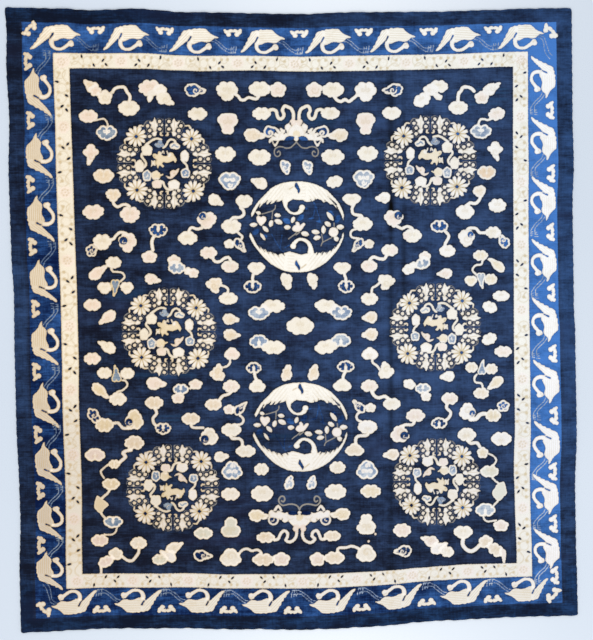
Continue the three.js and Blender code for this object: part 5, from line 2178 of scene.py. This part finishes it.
def edge_place(i, j, inset):
    """Plan place of a rim point, at an inset from the widest line."""
    s = ACROSS[i]
    t = ALONG[j]
    if i == 0:
        s = inset
    elif i == len(ACROSS) - 1:
        s = WIDE - inset
    if j == 0:
        t = inset
    elif j == len(ALONG) - 1:
        t = LONG - inset
    x, y = plan(np.array([[s]]), np.array([[t]]))
    return float(x[0, 0]), float(y[0, 0])


def shift_to_cad():
    """The CAD model's box is centred on the origin: so is the cloth's widest line."""
    s = np.linspace(0, WIDE, RIM_SAMPLES)
    t = np.linspace(0, LONG, RIM_SAMPLES)
    left = plan(np.zeros((1, RIM_SAMPLES)), t[None, :])[0].min()
    right = plan(np.full((1, RIM_SAMPLES), WIDE), t[None, :])[0].max()
    near = plan(s[:, None], np.zeros((RIM_SAMPLES, 1)))[1].min()
    far = plan(s[:, None], np.full((RIM_SAMPLES, 1), LONG))[1].max()
    return -(left + right) / 2 * MILLI, -(near + far) / 2 * MILLI


SHIFT_X, SHIFT_Y = shift_to_cad()


def add_mesh(name, points, faces, material):
    mesh = bpy.data.meshes.new(name)
    mesh.from_pydata(points, [], faces)
    mesh.update()
    mesh.materials.append(material)
    piece = bpy.data.objects.new(name, mesh)
    bpy.context.scene.collection.objects.link(piece)
    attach(piece, "root")
    return piece


CHANNELS = {
    **DISTANCE, "core": CORE, "lines": LINES, "comb": COMB, "combed": COMBED,
    "navy_fade_and_sheen": navy_fade_and_sheen(), "royal_fade_and_sheen": royal_fade_and_sheen(), "yellowing_and_warm_light": yellowing_and_warm_light(),
    "fold_shade": painted_fold_shade(), "pale_threads": pale_marks(), "margin": margin_tint(),
}


def grid_piece(keep):
    """The grid cells that keep marks: numbers of the grid points they use, points, faces, sources."""
    cells = np.argwhere(keep)
    used = np.zeros(S.shape, bool)
    for di in (0, 1):
        for dj in (0, 1):
            used[cells[:, 0] + di, cells[:, 1] + dj] = True
    number = np.full(S.shape, -1)
    number[used] = np.arange(used.sum())
    places = np.stack([
        PLAN_X[used] * MILLI + SHIFT_X, PLAN_Y[used] * MILLI + SHIFT_Y, HEIGHT[used] * MILLI,
    ], 1)
    i, j = cells[:, 0], cells[:, 1]
    quads = np.stack([number[i, j], number[i + 1, j], number[i + 1, j + 1], number[i, j + 1]], 1)
    return number, places.tolist(), quads.tolist(), list(zip(*np.nonzero(used)))


def add_rim(number, points, faces, source, chart):
    """Adds the pile's rounded rim, ring below ring, to a piece's lists."""
    last_i, last_j = len(ACROSS) - 1, len(ALONG) - 1
    upper = [number[i, j] for i, j in rim_points()]
    for inset, level in reversed(RIM_SECTION[:-1]):
        out = RIM_SECTION[-1][1] - level
        lower = []
        for i, j in rim_points():
            x, y = edge_place(i, j, inset)
            lower.append(len(points))
            points.append((x * MILLI + SHIFT_X, y * MILLI + SHIFT_Y, level * MILLI))
            source.append((i, j))
            s_out = out * ((i == last_i) - (i == 0))
            t_out = out * ((j == last_j) - (j == 0))
            chart.append([S[i, j] + s_out, T[i, j] + t_out])
        for k in range(len(upper)):
            after = (k + 1) % len(upper)
            faces.append((lower[k], lower[after], upper[after], upper[k]))
        upper = lower


def write_channels(mesh, source):
    """Gives every point its distances, ages and yarn."""
    at = tuple(np.array(source).T)
    for channel, values in CHANNELS.items():
        layer = mesh.attributes.new(channel, "FLOAT", "POINT")
        layer.data.foreach_set("value", values[at].astype(np.float32))
    colours = np.ones((len(source), 4), np.float32)
    colours[:, :3] = TINT[at]
    layer = mesh.attributes.new("tint", "FLOAT_COLOR", "POINT")
    layer.data.foreach_set("color", colours.ravel())


def pile_piece(name, keep, material, ring=None, rim=False):
    """A piece of pile made of the grid cells that keep marks."""
    number, points, faces, source = grid_piece(keep)
    at = tuple(np.array(source).T)
    chart = np.stack([S[at], T[at]], 1).tolist()
    if rim:
        add_rim(number, points, faces, source, chart)
    piece = add_mesh(name, points, faces, material)
    piece.data.polygons.foreach_set("use_smooth", np.ones(len(faces), bool))
    write_channels(piece.data, source)
    texture_map(piece.data, np.array(chart), ring)
    return piece


# The share of a tile that is left empty along its edges
TILE_GAP = 0.006


def texture_map(mesh, chart, ring):
    """Lays a piece out in long tiles that fill the square: two for a strip, or for each side of a ring."""
    corners = np.zeros(4 * len(mesh.polygons), int)
    mesh.loops.foreach_get("vertex_index", corners)
    places = chart[corners].reshape(-1, 4, 2)
    s, t = places.mean(1).T
    upright = np.ones(len(s), bool)
    side = np.zeros(len(s), int)
    if ring is not None:
        upright = (s < LEFT_BANDS[ring]) | (s > WIDE - RIGHT_BANDS[ring])
        side = np.where(upright, s > WIDE / 2, 2 + (t > LONG / 2))
    tile = 2 * side + np.where(upright, t > LONG / 2, s > WIDE / 2)
    count = tile.max() + 1
    spots = np.where(upright[:, None, None], places[..., ::-1], places)
    for number in range(count):
        own = spots[tile == number]
        low = own.min((0, 1))
        spots[tile == number] = TILE_GAP + (1 - 2 * TILE_GAP) * (own - low) / (own.max((0, 1)) - low)
    spots[..., 1] = (spots[..., 1] + tile[:, None]) / count
    layer = mesh.uv_layers.new(name="OFBake")
    layer.data.foreach_set("uv", spots.astype(np.float32).ravel())


def band_cells(level):
    """Marks the grid cells that lie within a band line."""
    s = (ACROSS[1:] + ACROSS[:-1]) / 2
    t = (ALONG[1:] + ALONG[:-1]) / 2
    across = (s > LEFT_BANDS[level]) & (s < WIDE - RIGHT_BANDS[level])
    along = (t > NEAR_BANDS[level]) & (t < LONG - FAR_BANDS[level])
    return across[:, None] & along[None, :]


def field_strips(count):
    """The field's cells in lengthwise strips."""
    field = band_cells(2)
    columns = np.flatnonzero(field.any(1))
    for part in np.array_split(columns, count):
        strip = np.zeros_like(field)
        strip[part] = field[part]
        yield strip


# The foundation's grid, and how far it stays within the rim, in millimetres
FOUNDATION_STEP = 40
FOUNDATION_INSET = 1.2


def foundation_piece(material):
    """The woven cotton ground, a closed slab under the pile."""
    s = np.linspace(FOUNDATION_INSET, WIDE - FOUNDATION_INSET, int(WIDE / FOUNDATION_STEP))
    t = np.linspace(FOUNDATION_INSET, LONG - FOUNDATION_INSET, int(LONG / FOUNDATION_STEP))
    x, y = plan(*np.meshgrid(s, t, indexing="ij"))
    x = x * MILLI + SHIFT_X
    y = y * MILLI + SHIFT_Y
    points = [(*place, level) for level in (0.0, FOUNDATION) for place in zip(x.ravel(), y.ravel())]
    lift = x.size
    number = np.arange(lift).reshape(x.shape)
    corners = np.stack([number[:-1, :-1], number[:-1, 1:], number[1:, 1:], number[1:, :-1]], 2)
    faces = []
    for a, b, c, d in corners.reshape(-1, 4).tolist():
        faces.append((a, b, c, d))
        faces.append((a + lift, d + lift, c + lift, b + lift))
    loop = np.concatenate([number[:-1, 0], number[-1, :-1], number[:0:-1, -1], number[0, :0:-1]]).tolist()
    for a, b in zip(loop, loop[1:] + loop[:1]):
        faces.append((a, b, b + lift, a + lift))
    return add_mesh("foundation", points, faces, material)


WOOL = wool()
EVERYWHERE = np.ones((len(ACROSS) - 1, len(ALONG) - 1), bool)
FIELD_STRIPS = 4
pieces = [
    pile_piece("margin_pile", EVERYWHERE & ~band_cells(0), WOOL, 0, rim=True),
    pile_piece("crane_border_pile", band_cells(0) & ~band_cells(1), WOOL, 1),
    pile_piece("guard_band_pile", band_cells(1) & ~band_cells(2), WOOL, 2),
]
for number, strip in enumerate(field_strips(FIELD_STRIPS), 1):
    pieces.append(pile_piece(f"field_pile_{number}", strip, WOOL))
foundation = foundation_piece(cotton())
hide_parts("rug")

add_camera(SHIFT_X, SHIFT_Y)
add_world()
for light, values in LIGHTS.items():
    add_light(light, *values)
add_floor()
bpy.context.scene.view_settings.view_transform = "Standard"
